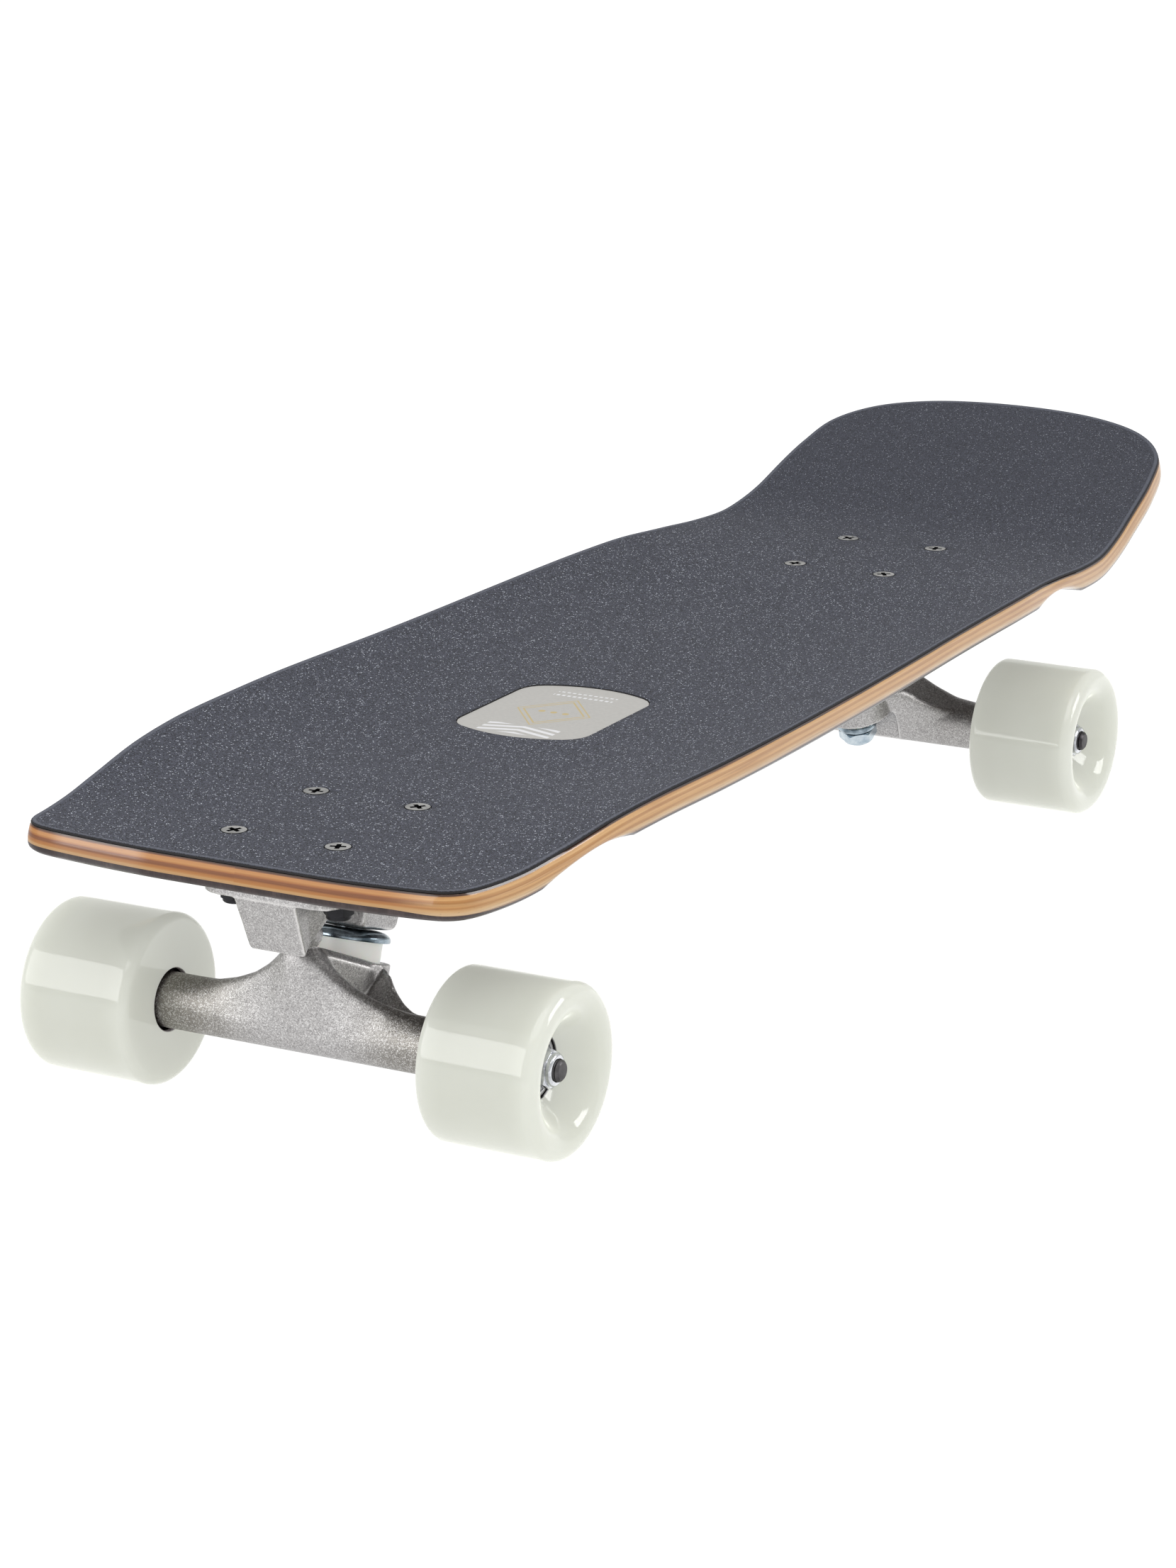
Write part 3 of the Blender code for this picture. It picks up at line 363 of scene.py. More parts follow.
class Wire:
    """An output of a finish's nodes. Sums written with it become Math nodes."""

    def __init__(self, finish, socket):
        self.finish = finish
        self.socket = socket

    def maths(self, operation, *values):
        return self.finish.node("Math", {"operation": operation}, dict(enumerate(values)))

    def __add__(self, other):
        return self.maths("ADD", self, other)

    def __radd__(self, other):
        return self.maths("ADD", other, self)

    def __sub__(self, other):
        return self.maths("SUBTRACT", self, other)

    def __rsub__(self, other):
        return self.maths("SUBTRACT", other, self)

    def __mul__(self, other):
        return self.maths("MULTIPLY", self, other)

    def __rmul__(self, other):
        return self.maths("MULTIPLY", other, self)

    def __truediv__(self, other):
        return self.maths("DIVIDE", self, other)

    def __abs__(self):
        return self.maths("ABSOLUTE", self)

    def repeat(self, length):
        """Share of the way through a stretch that repeats."""
        return self.maths("FRACT", self / length)

    def root(self):
        return self.maths("SQRT", self)

    def most(self, other):
        return self.maths("MAXIMUM", self, other)

    def above(self, low, high):
        """0 under low, 1 over high and smooth between them."""
        return self.finish.node(
            "MapRange", {"interpolation_type": "SMOOTHSTEP"},
            {"Value": self, "From Min": low, "From Max": high},
        )

    def within(self, low, high, soft):
        """1 between low and high."""
        return self.above(low - soft, low + soft) * (1 - self.above(high - soft, high + soft))


class Finish:
    """A Principled shader and the nodes that feed it."""

    def __init__(self, name, **sockets):
        self.material = bpy.data.materials.new(name)
        self.material.use_nodes = True
        self.nodes = self.material.node_tree.nodes
        self.links = self.material.node_tree.links
        self.shader = self.nodes["Principled BSDF"]
        for socket, value in sockets.items():
            self.shader.inputs[socket.replace("_", " ")].default_value = value

    def node(self, kind, settings=None, sockets=None, out=0):
        made = self.nodes.new("ShaderNode" + kind)
        for name, value in (settings or {}).items():
            if name == "stops":
                self.set_stops(made.color_ramp.elements, value)
            else:
                setattr(made, name, value)
        for name, value in (sockets or {}).items():
            if isinstance(value, Wire):
                self.links.new(value.socket, made.inputs[name])
            else:
                made.inputs[name].default_value = value
        return Wire(self, made.outputs[out])

    @staticmethod
    def set_stops(elements, stops):
        for number, (share, colour) in enumerate(stops):
            stop = elements[number] if number < 2 else elements.new(share)
            stop.position = share
            stop.color = colour

    def feed(self, socket, wire):
        self.links.new(wire.socket, self.shader.inputs[socket])

    def where(self, scale=(1, 1, 1), centre=(0, 0, 0)):
        """Object coordinates, moved so that the centre is zero and then scaled."""
        spot = self.node("TexCoord", out="Object")
        moved = self.node("VectorMath", {"operation": "SUBTRACT"}, {0: spot, 1: centre})
        return self.node("VectorMath", {"operation": "MULTIPLY"}, {0: moved, 1: scale})

    def marks(self):
        """The two numbers of the piece's UV map, in metres."""
        return self.split(self.node("TexCoord", out="UV"))[:2]

    def split(self, vector):
        """The three numbers of a vector."""
        first = self.node("SeparateXYZ", {}, {0: vector})
        return [Wire(self, first.socket.node.outputs[k]) for k in range(3)]

    def noise(self, scale, detail=2.0, rough=0.5, where=None, distortion=0.0):
        return self.node("TexNoise", {}, {
            "Vector": where or self.where(), "Scale": scale, "Detail": detail,
            "Roughness": rough, "Distortion": distortion,
        })

    def cells(self, scale):
        """Distance to the nearest cell's middle, and a random number for each cell."""
        near = self.node("TexVoronoi", {}, {"Vector": self.where(), "Scale": scale})
        colour = Wire(self, near.socket.node.outputs["Color"])
        return near, self.split(colour)[0]

    def mix(self, share, first, second):
        return self.node("Mix", {"data_type": "RGBA"}, {0: share, 6: first, 7: second}, out=2)

    def ramp(self, value, stops):
        return self.node("ValToRGB", {"stops": stops}, {0: value})

    def bump(self, height, distance, strength):
        self.feed("Normal", self.node("Bump", {}, {
            "Height": height, "Distance": distance, "Strength": strength,
        }))


def griptape_finish():
    """Fine grit in dark resin: every grain has its own brightness, and a few carry a painted glint."""
    grit = Finish("griptape")
    inset, depth = grit.marks()
    near, grain = grit.cells(2600)
    small = grit.cells(4900)[1]
    blotch = grit.noise(38, 3)
    # the kick is rubbed smoother than the rest
    along = grit.split(grit.where())[0]
    wear_and_sheen = 1 - along.above(TAIL_END + 60 * MM, TAIL_END + 190 * MM)
    shade = (grain * 0.62 + small * 0.38 - 0.5) * (1.5 - wear_and_sheen * 0.7) + (0.5 - wear_and_sheen * 0.05)
    body = grit.mix(shade.most(0.0), tone(3, 4, 10), tone(91, 94, 108))
    body = grit.mix((blotch - 0.45) * 0.25, body, tone(80, 83, 95))
    # painted glint: a few grains are painted near white, fewer on the worn kick
    painted_glint = grain.above(0.965, 0.975) * inset.above(2 * MM, 3 * MM)
    body = grit.mix(painted_glint * (0.8 - wear_and_sheen * 0.55), body, tone(214, 220, 232))
    rubbed = inset.within(0.2 * MM, 1.5 * MM, 0.2 * MM)
    body = grit.mix(rubbed * 0.4, body, tone(124, 128, 140))
    # the cut edge is dark: the grip's own dark edge, with painted shade of the gap over the deck
    edge = depth.above(0.1 * MM, 0.3 * MM)
    grit.feed("Base Color", grit.mix(edge, body, tone(24, 21, 24)))
    grit.feed("Roughness", 0.82 - painted_glint * 0.4)
    grit.bump((1 - near * 1.2) + grain * 0.6, 0.1 * MM, 0.5)
    return grit.material


def maple_finish():
    """Seven plies on edge under clear coat, the last one stained dark."""
    wood = Finish("maple", Specular_IOR_Level=0.3, Coat_Roughness=0.09, Coat_IOR=1.5)
    along, depth = wood.marks()

    def edge_noise(lengthwise, downwards, detail, rough, lift=0.0):
        """Noise on the board's edge, with its scale along and down the edge."""
        spot = wood.node("CombineXYZ", {}, {0: along * lengthwise, 1: depth * downwards, 2: lift})
        return wood.noise(1.0, detail, rough, spot)

    wander = edge_noise(9, 420, 4, 0.6)
    layer = (depth + (wander - 0.5) * MM) / DECK_T
    # the top half millimetre is dark in this ramp and in the soaked one: a glue line, with painted shade
    # of the gap under the griptape
    plies = wood.ramp(layer, [
        (0.0, tone(46, 30, 26)), (0.055, tone(60, 40, 32)), (0.085, tone(226, 174, 112)),
        (0.20, tone(234, 186, 126)), (0.24, tone(208, 154, 94)), (0.31, tone(196, 140, 80)),
        (0.36, tone(226, 178, 118)), (0.46, tone(224, 172, 110)), (0.51, tone(200, 146, 86)),
        (0.56, tone(210, 160, 102)), (0.62, tone(228, 186, 132)), (0.74, tone(234, 204, 162)),
        (0.77, tone(164, 134, 110)),
    ])
    streak = edge_noise(16, 700, 2, 0.5, 5.0)
    fibre = edge_noise(60, 2600, 4, 0.6)
    pores = edge_noise(900, 2400, 2, 0.5, 3.0)
    side = wood.mix((streak - 0.5) * 2.0, plies, tone(160, 96, 44))
    side = wood.mix((fibre - 0.45) * 0.9, side, tone(150, 92, 46))
    side = wood.mix(pores.above(0.62, 0.75) * 0.25, side, tone(110, 66, 34))
    # the ends are cut across the grain, so that they soak up more of the lacquer
    x, y = wood.split(wood.where())[:2]
    cut_end = x.above(NOSE_END - 22 * MM, NOSE_END - 4 * MM) * (1 - y.above(56 * MM, 84 * MM) * 0.75)
    soaked = wood.ramp(layer + (streak - 0.5) * 0.08, [
        (0.0, tone(50, 30, 20)), (0.06, tone(116, 68, 34)), (0.09, tone(190, 124, 62)),
        (0.20, tone(202, 140, 74)), (0.27, tone(170, 102, 46)), (0.31, tone(126, 62, 24)),
        (0.40, tone(118, 58, 22)), (0.45, tone(170, 104, 50)), (0.53, tone(188, 126, 66)),
        (0.58, tone(208, 162, 108)), (0.66, tone(200, 158, 112)),
    ])
    soaked = wood.mix((fibre - 0.5) * 0.9, soaked, tone(210, 150, 86))
    side = wood.mix(cut_end * 0.9, side, soaked)
    tail_end = 1 - x.above(TAIL_END + 8 * MM, TAIL_END + 50 * MM)
    side = wood.mix(tail_end * 0.22, side, tone(190, 118, 56))
    # faces: the stained bottom ply with the grain along the board
    lengthwise = wood.noise(1.0, 5, 0.6, wood.where((9, 150, 150)))
    rays = wood.noise(1.0, 3, 0.5, wood.where((70, 1500, 300)))
    face = wood.ramp(lengthwise * 0.7 + rays * 0.3, [
        (0.3, tone(48, 40, 41)), (0.55, tone(72, 60, 60)), (0.75, tone(96, 82, 80)),
    ])
    under = (depth - (STAIN_LINE - cut_end * 1.3 * MM)).above(0.0, 0.12 * MM)
    wood.feed("Base Color", wood.mix(under, side, face))
    wood.feed("Roughness", 0.34 + fibre * 0.12)
    # the soaked ends and the stained face keep little of the coat, apart from one pool
    pool = cut_end * y.within(-71 * MM, -37 * MM, 4 * MM)
    coat = 0.8 - cut_end * 0.7 + pool * 0.9 - tail_end * 0.55 - under * 0.4
    wood.feed("Coat Weight", coat)
    wood.bump(fibre * 0.6 + pores * 0.4, 0.04 * MM, 0.3)
    return wood.material


def label_finish():
    """Grey film with a plain pattern of lines, bars and dots."""
    film = Finish("label", Roughness=0.5)
    # p and q are millimetres from the window's middle, along and across the board
    p, q = film.split(film.where((1 / MM, 1 / MM, 1 / MM), (BOARD_X + LABEL_X, 0, 0)))[:2]
    base = film.mix(film.noise(700, 2), tone(186, 184, 180), tone(202, 200, 195))
    lozenge = abs(p) * 0.8 + abs(q)
    gold = lozenge.within(12.4, 13.3, 0.1).most(lozenge.within(15.0, 15.7, 0.1))
    for middle in (-5.0, 0.0, 5.0):
        dot = (p * p + (q - middle) * (q - middle)).root()
        gold = gold.most(1 - dot.above(1.2, 1.5))
    slant = (p - abs(q) * 0.3).repeat(4.4).within(0.05, 0.55, 0.03)
    white = slant * p.within(21.5, 33.0, 0.1) * abs(q).within(-1.0, 15.0, 0.1)
    bars = q.repeat(2.3).within(0.1, 0.7, 0.05) * abs(q).within(-1.0, 12.6, 0.1)
    white = white.most(bars * p.within(-24.4, -22.8, 0.1).most(p.within(-28.6, -27.4, 0.1)))
    shade = film.mix(gold, base, tone(204, 184, 130))
    film.feed("Base Color", film.mix(white, shade, tone(240, 240, 242)))
    film.bump(film.noise(1500, 2), 0.02 * MM, 0.3)
    return film.material


def cast_finish():
    """Raw sand-cast aluminium, shot-blasted to a fine sparkling pebble."""
    cast = Finish("cast_aluminium", Metallic=1.0)
    pebble = cast.noise(2600)
    near, grain = cast.cells(2500)
    rim = cast.node("Attribute", {"attribute_name": "rim"}, out="Fac")
    patch = cast.noise(24, 3)
    body = cast.mix(patch, tone(170, 168, 168), tone(186, 184, 183))
    # painted shade and a painted reflection of the wheels: the arms darken to olive towards the wheels,
    # the front truck's more
    x, y = cast.split(cast.where())[:2]
    painted_arm_shade = abs(y).above(12 * MM, 44 * MM) * (0.2 + x.above(0.0, 10 * MM) * 0.45)
    body = cast.mix(painted_arm_shade, body, tone(118, 113, 102))
    body = cast.mix(grain.above(0.55, 1.0) * 0.5, body, tone(236, 235, 234))
    body = cast.mix((1 - grain.above(0.0, 0.4)) * 0.45, body, tone(100, 97, 98))
    # painted highlight along the outer edges, from the rim attribute
    cast.feed("Base Color", cast.mix(rim * 0.7, body, tone(232, 230, 228)))
    cast.feed("Roughness", 0.36 + patch * 0.06 + grain * 0.12 - rim * 0.14)
    cast.bump(pebble * 0.9 - near * 0.6, 0.12 * MM, 0.8)
    return cast.material


def urethane_finish():
    """Milky cast urethane, clearer towards the lips, with a painted glow and painted light at the lips.
    """
    milk = Finish(
        "wheel_urethane", IOR=1.48, Subsurface_Weight=0.8, Subsurface_Scale=0.02,
        Subsurface_Radius=(1.0, 1.0, 0.9), Emission_Strength=0.5,
    )
    radius, across = milk.marks()
    cloud = milk.noise(30, 3)
    # painted light: the thin lips are lighter, as if lit through
    lit_through_lip = (abs(across) / WHEEL_HALF).above(0.5, 1.0) * radius.above(18 * MM, 30 * MM)
    body = milk.mix(lit_through_lip, tone(173, 175, 166), tone(182, 184, 177))
    body = milk.mix((cloud - 0.4) * 0.5, body, tone(165, 166, 153))
    # painted shade: the bearing seats are painted dark and left out of the glow, and their mouths a
    # lighter shaded grey
    seat = 1 - radius.above(SEAT_R + 0.1 * MM, SEAT_R + 0.5 * MM)
    shaded_mouth = abs(across).above(20.6 * MM, 21.6 * MM)
    bore = milk.mix(shaded_mouth, tone(40, 37, 38), tone(168, 160, 164))
    milk.feed("Base Color", milk.mix(seat, body, bore))
    # painted glow: emission stands in for light scattered through the urethane
    glow = milk.mix(cloud, tone(219, 221, 212), tone(210, 211, 200))
    milk.feed("Emission Color", milk.mix(seat, glow, tone(0, 0, 0)))
    milk.feed("Roughness", 0.05 + milk.noise(220, 3) * 0.05)
    milk.bump(milk.noise(90, 2), 0.04 * MM, 0.1)
    return milk.material


def bushing_finish():
    """White urethane, a little see-through, with a painted glow."""
    soft = Finish(
        "bushing_urethane", Subsurface_Weight=0.4, Subsurface_Scale=0.005, Emission_Strength=0.35,
    )
    body = soft.mix(soft.noise(60, 2), tone(232, 232, 228), tone(242, 242, 240))
    soft.feed("Base Color", body)
    # painted glow: emission stands in for light through the urethane in the deck's shade
    soft.feed("Emission Color", soft.mix(soft.noise(40, 2), tone(216, 216, 208), tone(230, 230, 224)))
    soft.feed("Roughness", 0.32 + soft.noise(500, 2) * 0.14)
    soft.bump(soft.noise(300, 2), 0.05 * MM, 0.15)
    return soft.material


def black_rubber_finish():
    """Black rubbery urethane of the pivot cups."""
    rubber = Finish("pivot_urethane", Roughness=0.5)
    rubber.feed("Base Color", rubber.mix(rubber.noise(300, 2), tone(24, 24, 25), tone(44, 44, 46)))
    rubber.bump(rubber.noise(900, 2), 0.04 * MM, 0.3)
    return rubber.material


def plated_finish(name, dark, light, rough, shade_height=None):
    """A plated or turned metal with scratches and stains, painted black as shade under a given height."""
    plate = Finish(name, Metallic=1.0)
    stain = plate.noise(160, 4, 0.6)
    scratch = plate.noise(900, 3, 0.6, distortion=0.4)
    body = plate.mix(stain.above(0.3, 0.7), dark, light)
    if shade_height is not None:
        # painted shade: under this height, in the cross recess, the metal is painted black
        height = plate.split(plate.where())[2]
        body = plate.mix(height.above(shade_height, shade_height + 0.05 * MM), tone(12, 12, 13), body)
    plate.feed("Base Color", body)
    plate.feed("Roughness", rough * 0.8 + stain * rough * 0.5 + scratch * 0.06)
    plate.bump(scratch + stain * 0.5, 0.02 * MM, 0.35)
    return plate.material


def black_oxide_finish():
    """Blackened steel with stains."""
    oxide = Finish("black_oxide", Metallic=0.7)
    stain = oxide.noise(350, 3, 0.6)
    oxide.feed("Base Color", oxide.mix(stain, tone(22, 22, 24), tone(52, 52, 56)))
    oxide.feed("Roughness", 0.3 + stain * 0.25)
    oxide.bump(oxide.noise(1400, 2), 0.02 * MM, 0.4)
    return oxide.material


FINISH = {
    "griptape": griptape_finish(),
    "maple": maple_finish(),
    "label": label_finish(),
    "cast_aluminium": cast_finish(),
    "wheel_urethane": urethane_finish(),
    "bushing_urethane": bushing_finish(),
    "pivot_urethane": black_rubber_finish(),
    "black_oxide": black_oxide_finish(),
    "zinc": plated_finish("zinc", tone(168, 184, 196), tone(214, 224, 230), 0.2),
    "washer_zinc": plated_finish("washer_zinc", tone(84, 98, 108), tone(176, 190, 200), 0.18),
    "bolt_steel": plated_finish(
        "bolt_steel", tone(160, 160, 158), tone(204, 203, 201), 0.36, shade_height=GRIP_Z + 0.02 * MM,
    ),
    "axle_steel": plated_finish("axle_steel", tone(58, 56, 58), tone(98, 96, 98), 0.36),
    "bearing_steel": plated_finish("bearing_steel", tone(150, 150, 152), tone(205, 206, 208), 0.26),
    "nut_chrome": plated_finish("nut_chrome", tone(160, 162, 166), tone(232, 234, 238), 0.1),
}


def finished(obj, slot, body=None, *nodes, finish=None):
    """Give a piece its finish, its body and the CAD nodes that it stands for."""
    obj.data.materials.clear()
    obj.data.materials.append(FINISH[finish or slot])
    if body is not None:
        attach(obj, body)
    if nodes:
        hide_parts(*nodes)


# Deck
def smooth(t):
    """0 up to 0, 1 from 1 on and smooth between them."""
    t = np.clip(t, 0.0, 1.0)
    return t * t * (3 - 2 * t)


def table(pairs, x):
    """Smooth curve through a few (x, value) points given in millimetres."""
    xs = np.array([p[0] for p in sorted(pairs)]) * MM
    vs = np.array([p[1] for p in sorted(pairs)]) * MM
    slopes = np.gradient(vs, xs)
    x = np.clip(x, xs[0], xs[-1])
    i = np.clip(np.searchsorted(xs, x) - 1, 0, len(xs) - 2)
    h = xs[i + 1] - xs[i]
    t = (x - xs[i]) / h
    return (
        (2 * t**3 - 3 * t**2 + 1) * vs[i] + (t**3 - 2 * t**2 + t) * h * slopes[i]
        + (3 * t**2 - 2 * t**3) * vs[i + 1] + (t**3 - t**2) * h * slopes[i + 1]
    )


def kick(x):
    """Rise of the kicked tail at x, and its slope."""
    run = np.clip(KICK_X - x, 0, None)
    bend = np.minimum(run, KICK_RUN)
    rise = KICK_SLOPE * bend**2 / (2 * KICK_RUN) + KICK_SLOPE * (run - bend)
    return rise, KICK_SLOPE * bend / KICK_RUN


def face_height(x, y):
    """Height of the griptape's face over the bolts' level."""
    dip = CENTRE_DIP * smooth((DIP_X[1] - abs(x)) / (DIP_X[1] - DIP_X[0]))
    share = np.clip(abs(y) / table(HALF_WIDTH, x), 0, 1)
    concave = np.clip((share - FLAT_SHARE) / (1 - FLAT_SHARE), 0, 1) ** CONCAVE_POWER
    return kick(x)[0] - dip + (table(EDGE_RISE, x) + dip) * concave


def well_depth(x, y):
    """Depth of the milled wheel wells, fading out towards the middle line."""
    along = sum(
        depth * np.clip(1 - ((x - middle) / half) ** 2, 0, 1) for middle, half, depth in WELLS
    )
    return along * smooth((abs(y) - table(HALF_WIDTH, x) + WELL_IN) / WELL_IN)


def curve(points, step):
    """Points along a smooth curve through an open list of points, its own ends left out."""
    out = []
    for p0, p1, p2, p3 in zip(points, points[1:], points[2:], points[3:]):
        gap = np.linalg.norm(p2 - p1)
        t1 = np.linalg.norm(p1 - p0) ** 0.5
        t2 = t1 + gap**0.5
        t3 = t2 + np.linalg.norm(p3 - p2) ** 0.5
        steps = max(1, round(gap / step))
        for k in range(steps):
            t = t1 + (t2 - t1) * k / steps
            a1 = (t1 - t) / t1 * p0 + t / t1 * p1
            a2 = (t2 - t) / (t2 - t1) * p1 + (t - t1) / (t2 - t1) * p2
            a3 = (t3 - t) / (t3 - t2) * p2 + (t - t2) / (t3 - t2) * p3
            b1 = (t2 - t) / t2 * a1 + t / t2 * a2
            b2 = (t3 - t) / (t3 - t1) * a2 + (t - t1) / (t3 - t1) * a3
            out.append((t2 - t) / (t2 - t1) * b1 + (t - t1) / (t2 - t1) * b2)
    out.append(points[-2])
    return out


def outline_points():
    """The board's outline, closed, from the nose round by one side and back by the other."""
    pts = [np.array(p) * MM + (NOSE_X, 0) for p in NOSE_OUTLINE]
    pts += [np.array(p) * MM for p in MIDDLE_OUTLINE]
    pts += [np.array(p) * MM + (TAIL_X, 0) for p in TAIL_OUTLINE]
    mirror = np.array([1, -1])
    half = curve([pts[1] * mirror] + pts + [pts[-2] * mirror], OUTLINE_STEP)
    return np.array(half + [p * mirror for p in reversed(half[:-1])])


def rail_points(rail):
    """A rail's table as a smooth curve in metres. A table of two points stays as it is."""
    pts = [np.array(p) * MM for p in rail]
    if len(pts) < 3:
        return pts
    return curve([2 * pts[0] - pts[1]] + pts + [2 * pts[-1] - pts[-2]], RAIL_STEP)


def shell(name, drop, rail, wells=False, use_inset=False):
    """A closed layer of the board: rings outwards, down the rail and back under the face.

    Its marks are the depth, and either the inset from the edge or the run around it.
    """
    top = outline_points()
    ahead = np.gradient(top, axis=0)
    ahead[0] = ahead[-1] = top[1] - top[-2]
    out = np.column_stack([ahead[:, 1], -ahead[:, 0]])
    out /= np.linalg.norm(out, axis=1)[:, None]
    out *= np.sign((out * top).sum(axis=1))[:, None]
    spine = np.column_stack([np.clip(top[:, 0], *SPINE), np.zeros(len(top))])
    run = np.concatenate([[0], np.cumsum(np.linalg.norm(np.diff(top, axis=0), axis=1))])
    ones = np.ones(len(top))
    thick = rail[-1][1] * MM
    places = []
    marks = []

    def add_row(plan, depth, inset):
        x, y = plan[:, 0], plan[:, 1]
        thin = 1 - (well_depth(x, y) / thick if wells else 0)
        z = face_height(x, y) - (drop + depth * thin) * np.sqrt(1 + kick(x)[1] ** 2)
        places.append(np.column_stack([x + BOARD_X, y, z + GRIP_Z]))
        first = inset if use_inset else run
        marks.append(np.column_stack([first * ones, depth * thin * ones]))

    rim = rail_points(rail)
    edge = top + out * rim[0][0]
    width = np.linalg.norm(edge - spine, axis=1)
    for share in RINGS:
        add_row(spine + share * (edge - spine), 0.0, (1 - share) * width)
    for outset, depth in rim[1:-1]:
        add_row(top + out * outset, depth, 0.0)
    edge = top + out * rim[-1][0]
    for share in reversed(RINGS):
        add_row(spine + share * (edge - spine), thick, (1 - share) * width)
    return sheet(name, np.array(places), np.array(marks), 50)


def label_outline(steps):
    """The window's outline: each quarter is an arc of the end and an arc of the corner."""
    half_x, half_y = LABEL_HALF
    end_x = half_x - LABEL_END_R
    cy = half_y - LABEL_CORNER
    cx = end_x + math.sqrt((LABEL_END_R - LABEL_CORNER) ** 2 - cy**2)
    lean = math.atan2(cy, cx - end_x)

    def arc(x, y, radius, start, sweep, count):
        turns = [start + sweep * k / steps for k in range(count)]
        return [(x + radius * math.cos(t), y + radius * math.sin(t)) for t in turns]

    quarter = arc(end_x, 0, LABEL_END_R, 0, lean, steps)
    quarter += arc(cx, cy, LABEL_CORNER, lean, math.pi / 2 - lean, steps + 1)
    upper = quarter + [(-x, y) for x, y in reversed(quarter)]
    lower = [(-x, -y) for x, y in upper[1:-1]]
    return [(x + LABEL_X + BOARD_X, y) for x, y in upper + lower]


def bolt_places():
    """Each bolt's number and its place on the board."""
    return [(name, middle_of("bolt_" + name).xy) for name in BOLT_TURN]


def build_deck():
    deck = shell("maple_deck", GRIP_T + GAP, RAIL, wells=True)
    finished(deck, "maple", "board", "deck")
    grip = shell("grit_sheet", 0.0, GRIP_EDGE, use_inset=True)
    drill = [(0, THROUGH), (BOLT_HOLE_R, THROUGH), (BOLT_HOLE_R, -THROUGH), (0, -THROUGH)]
    for _, (x, y) in bolt_places():
        combine(grip, turned("hole", drill, Matrix.Translation((x, y, GRIP_Z)), 40))
    combine(grip, prism("window", label_outline(12), GRIP_Z - THROUGH, GRIP_Z + THROUGH))
    finished(grip, "griptape", "board", "griptape")
    finished(frame["nodes"]["deck_label"], "label")


# Bolts and nuts
def cross_bar(length, width, low, high):
    """One bar of the cross recess, narrower at its foot."""
    deselect()
    bpy.ops.mesh.primitive_cube_add(size=1)
    obj = bpy.context.object
    for vertex in obj.data.vertices:
        x, y, z = vertex.co
        share = 1.0 if z > 0 else CROSS_FOOT
        vertex.co = (x * length * share, y * width * share, high if z > 0 else low)
    return obj


def build_bolts():
    low, high, _ = reach("bolt_front_1", Matrix())
    bolt = turned("bolt", [
        (0, high), (BOLT_HEAD_R - 0.35 * MM, high), (BOLT_HEAD_R - 0.1 * MM, high - 0.1 * MM),
        (BOLT_HEAD_R, high - 0.3 * MM), (BOLT_HEAD_R, high - 0.5 * MM),
        (BOLT_SHANK_R, high - 3.0 * MM), (BOLT_SHANK_R, low + 0.4 * MM),
        (BOLT_SHANK_R - 0.4 * MM, low), (0, low),
    ], Matrix(), 48)
    foot = high - CROSS_DEPTH
    bar = cross_bar(CROSS_LENGTH, CROSS_WIDTH, foot, high + 0.5 * MM)
    other = cross_bar(CROSS_WIDTH, CROSS_LENGTH, foot, high + 0.5 * MM)
    centre = turned("centre", [
        (0, high + 0.4 * MM), (1.5 * MM, high + 0.4 * MM), (0.9 * MM, foot + 0.1 * MM),
        (0, foot - 0.1 * MM),
    ], Matrix(), 16)
    combine(bar, other, "UNION")
    combine(bar, centre, "UNION")
    combine(bolt, bar)
    bevel(bolt, 0.08 * MM)
    for name, (x, y) in bolt_places():
        turn = Matrix.Rotation(math.radians(BOLT_TURN[name]), 4, "Z")
        one = copied(bolt, "cross_head_bolt_" + name, Matrix.Translation((x, y, 0)) @ turn)
        mend(one, 30)
        finished(one, "bolt_steel", "board", "bolt_" + name)
    bpy.data.objects.remove(bolt, do_unlink=True)


def hex_nut(name, low, high, corner, bore, axis, collar=True):
    """A hex nut whose corners are turned off, with a round locking collar towards low."""
    flat = corner * math.cos(math.pi / 6)
    rise = (high - low) * COLLAR_SHARE if collar else 0
    foot = low + rise
    deselect()
    bpy.ops.mesh.primitive_cylinder_add(
        vertices=6, radius=corner, depth=high - foot, location=(0, 0, (high + foot) / 2),
    )
    nut = bpy.context.object
    nut.name = name
    bpy.ops.object.transform_apply(location=True, rotation=True, scale=True)
    bevel(nut, 0.25 * MM)
    chamfer = (corner - flat) * 0.62
    wide = corner + 0.02 * MM
    limit = turned("limit", [
        (0, high), (flat, high), (wide, high - chamfer), (wide, foot + chamfer), (flat, foot), (0, foot),
    ], Matrix(), 48)
    combine(nut, limit, "INTERSECT")
    if collar:
        ring = flat * 0.93
        inside = foot + (high - low) * 0.2
        round_collar = turned("collar", softened([
            (0, inside), (ring, inside), (ring, low + 0.3 * rise), (ring * 0.86, low), (0, low),
        ], 0.5 * MM), Matrix(), 48)
        combine(nut, round_collar, "UNION")
    drill = [(0, high + MM), (bore, high + MM), (bore, low - MM), (0, low - MM)]
    combine(nut, turned("bore", drill, Matrix(), 48))
    mend(nut, 28)
    place(nut, axis)
    return nut


def build_lock_nuts():
    spot = middle_of("locknut_front_1")
    low, high, corner = reach("locknut_front_1", Matrix.Translation((spot.x, spot.y, 0)))
    nut = hex_nut("nut", low, high, corner, LOCKNUT_BORE, Matrix())
    for number, (name, (x, y)) in enumerate(bolt_places()):
        turn = Matrix.Rotation(math.radians(17 + 37 * number), 4, "Z")
        one = copied(nut, "black_locknut_" + name, Matrix.Translation((x, y, 0)) @ turn)
        mend(one, 28)
        finished(one, "black_oxide", "board", "locknut_" + name)
    bpy.data.objects.remove(nut, do_unlink=True)


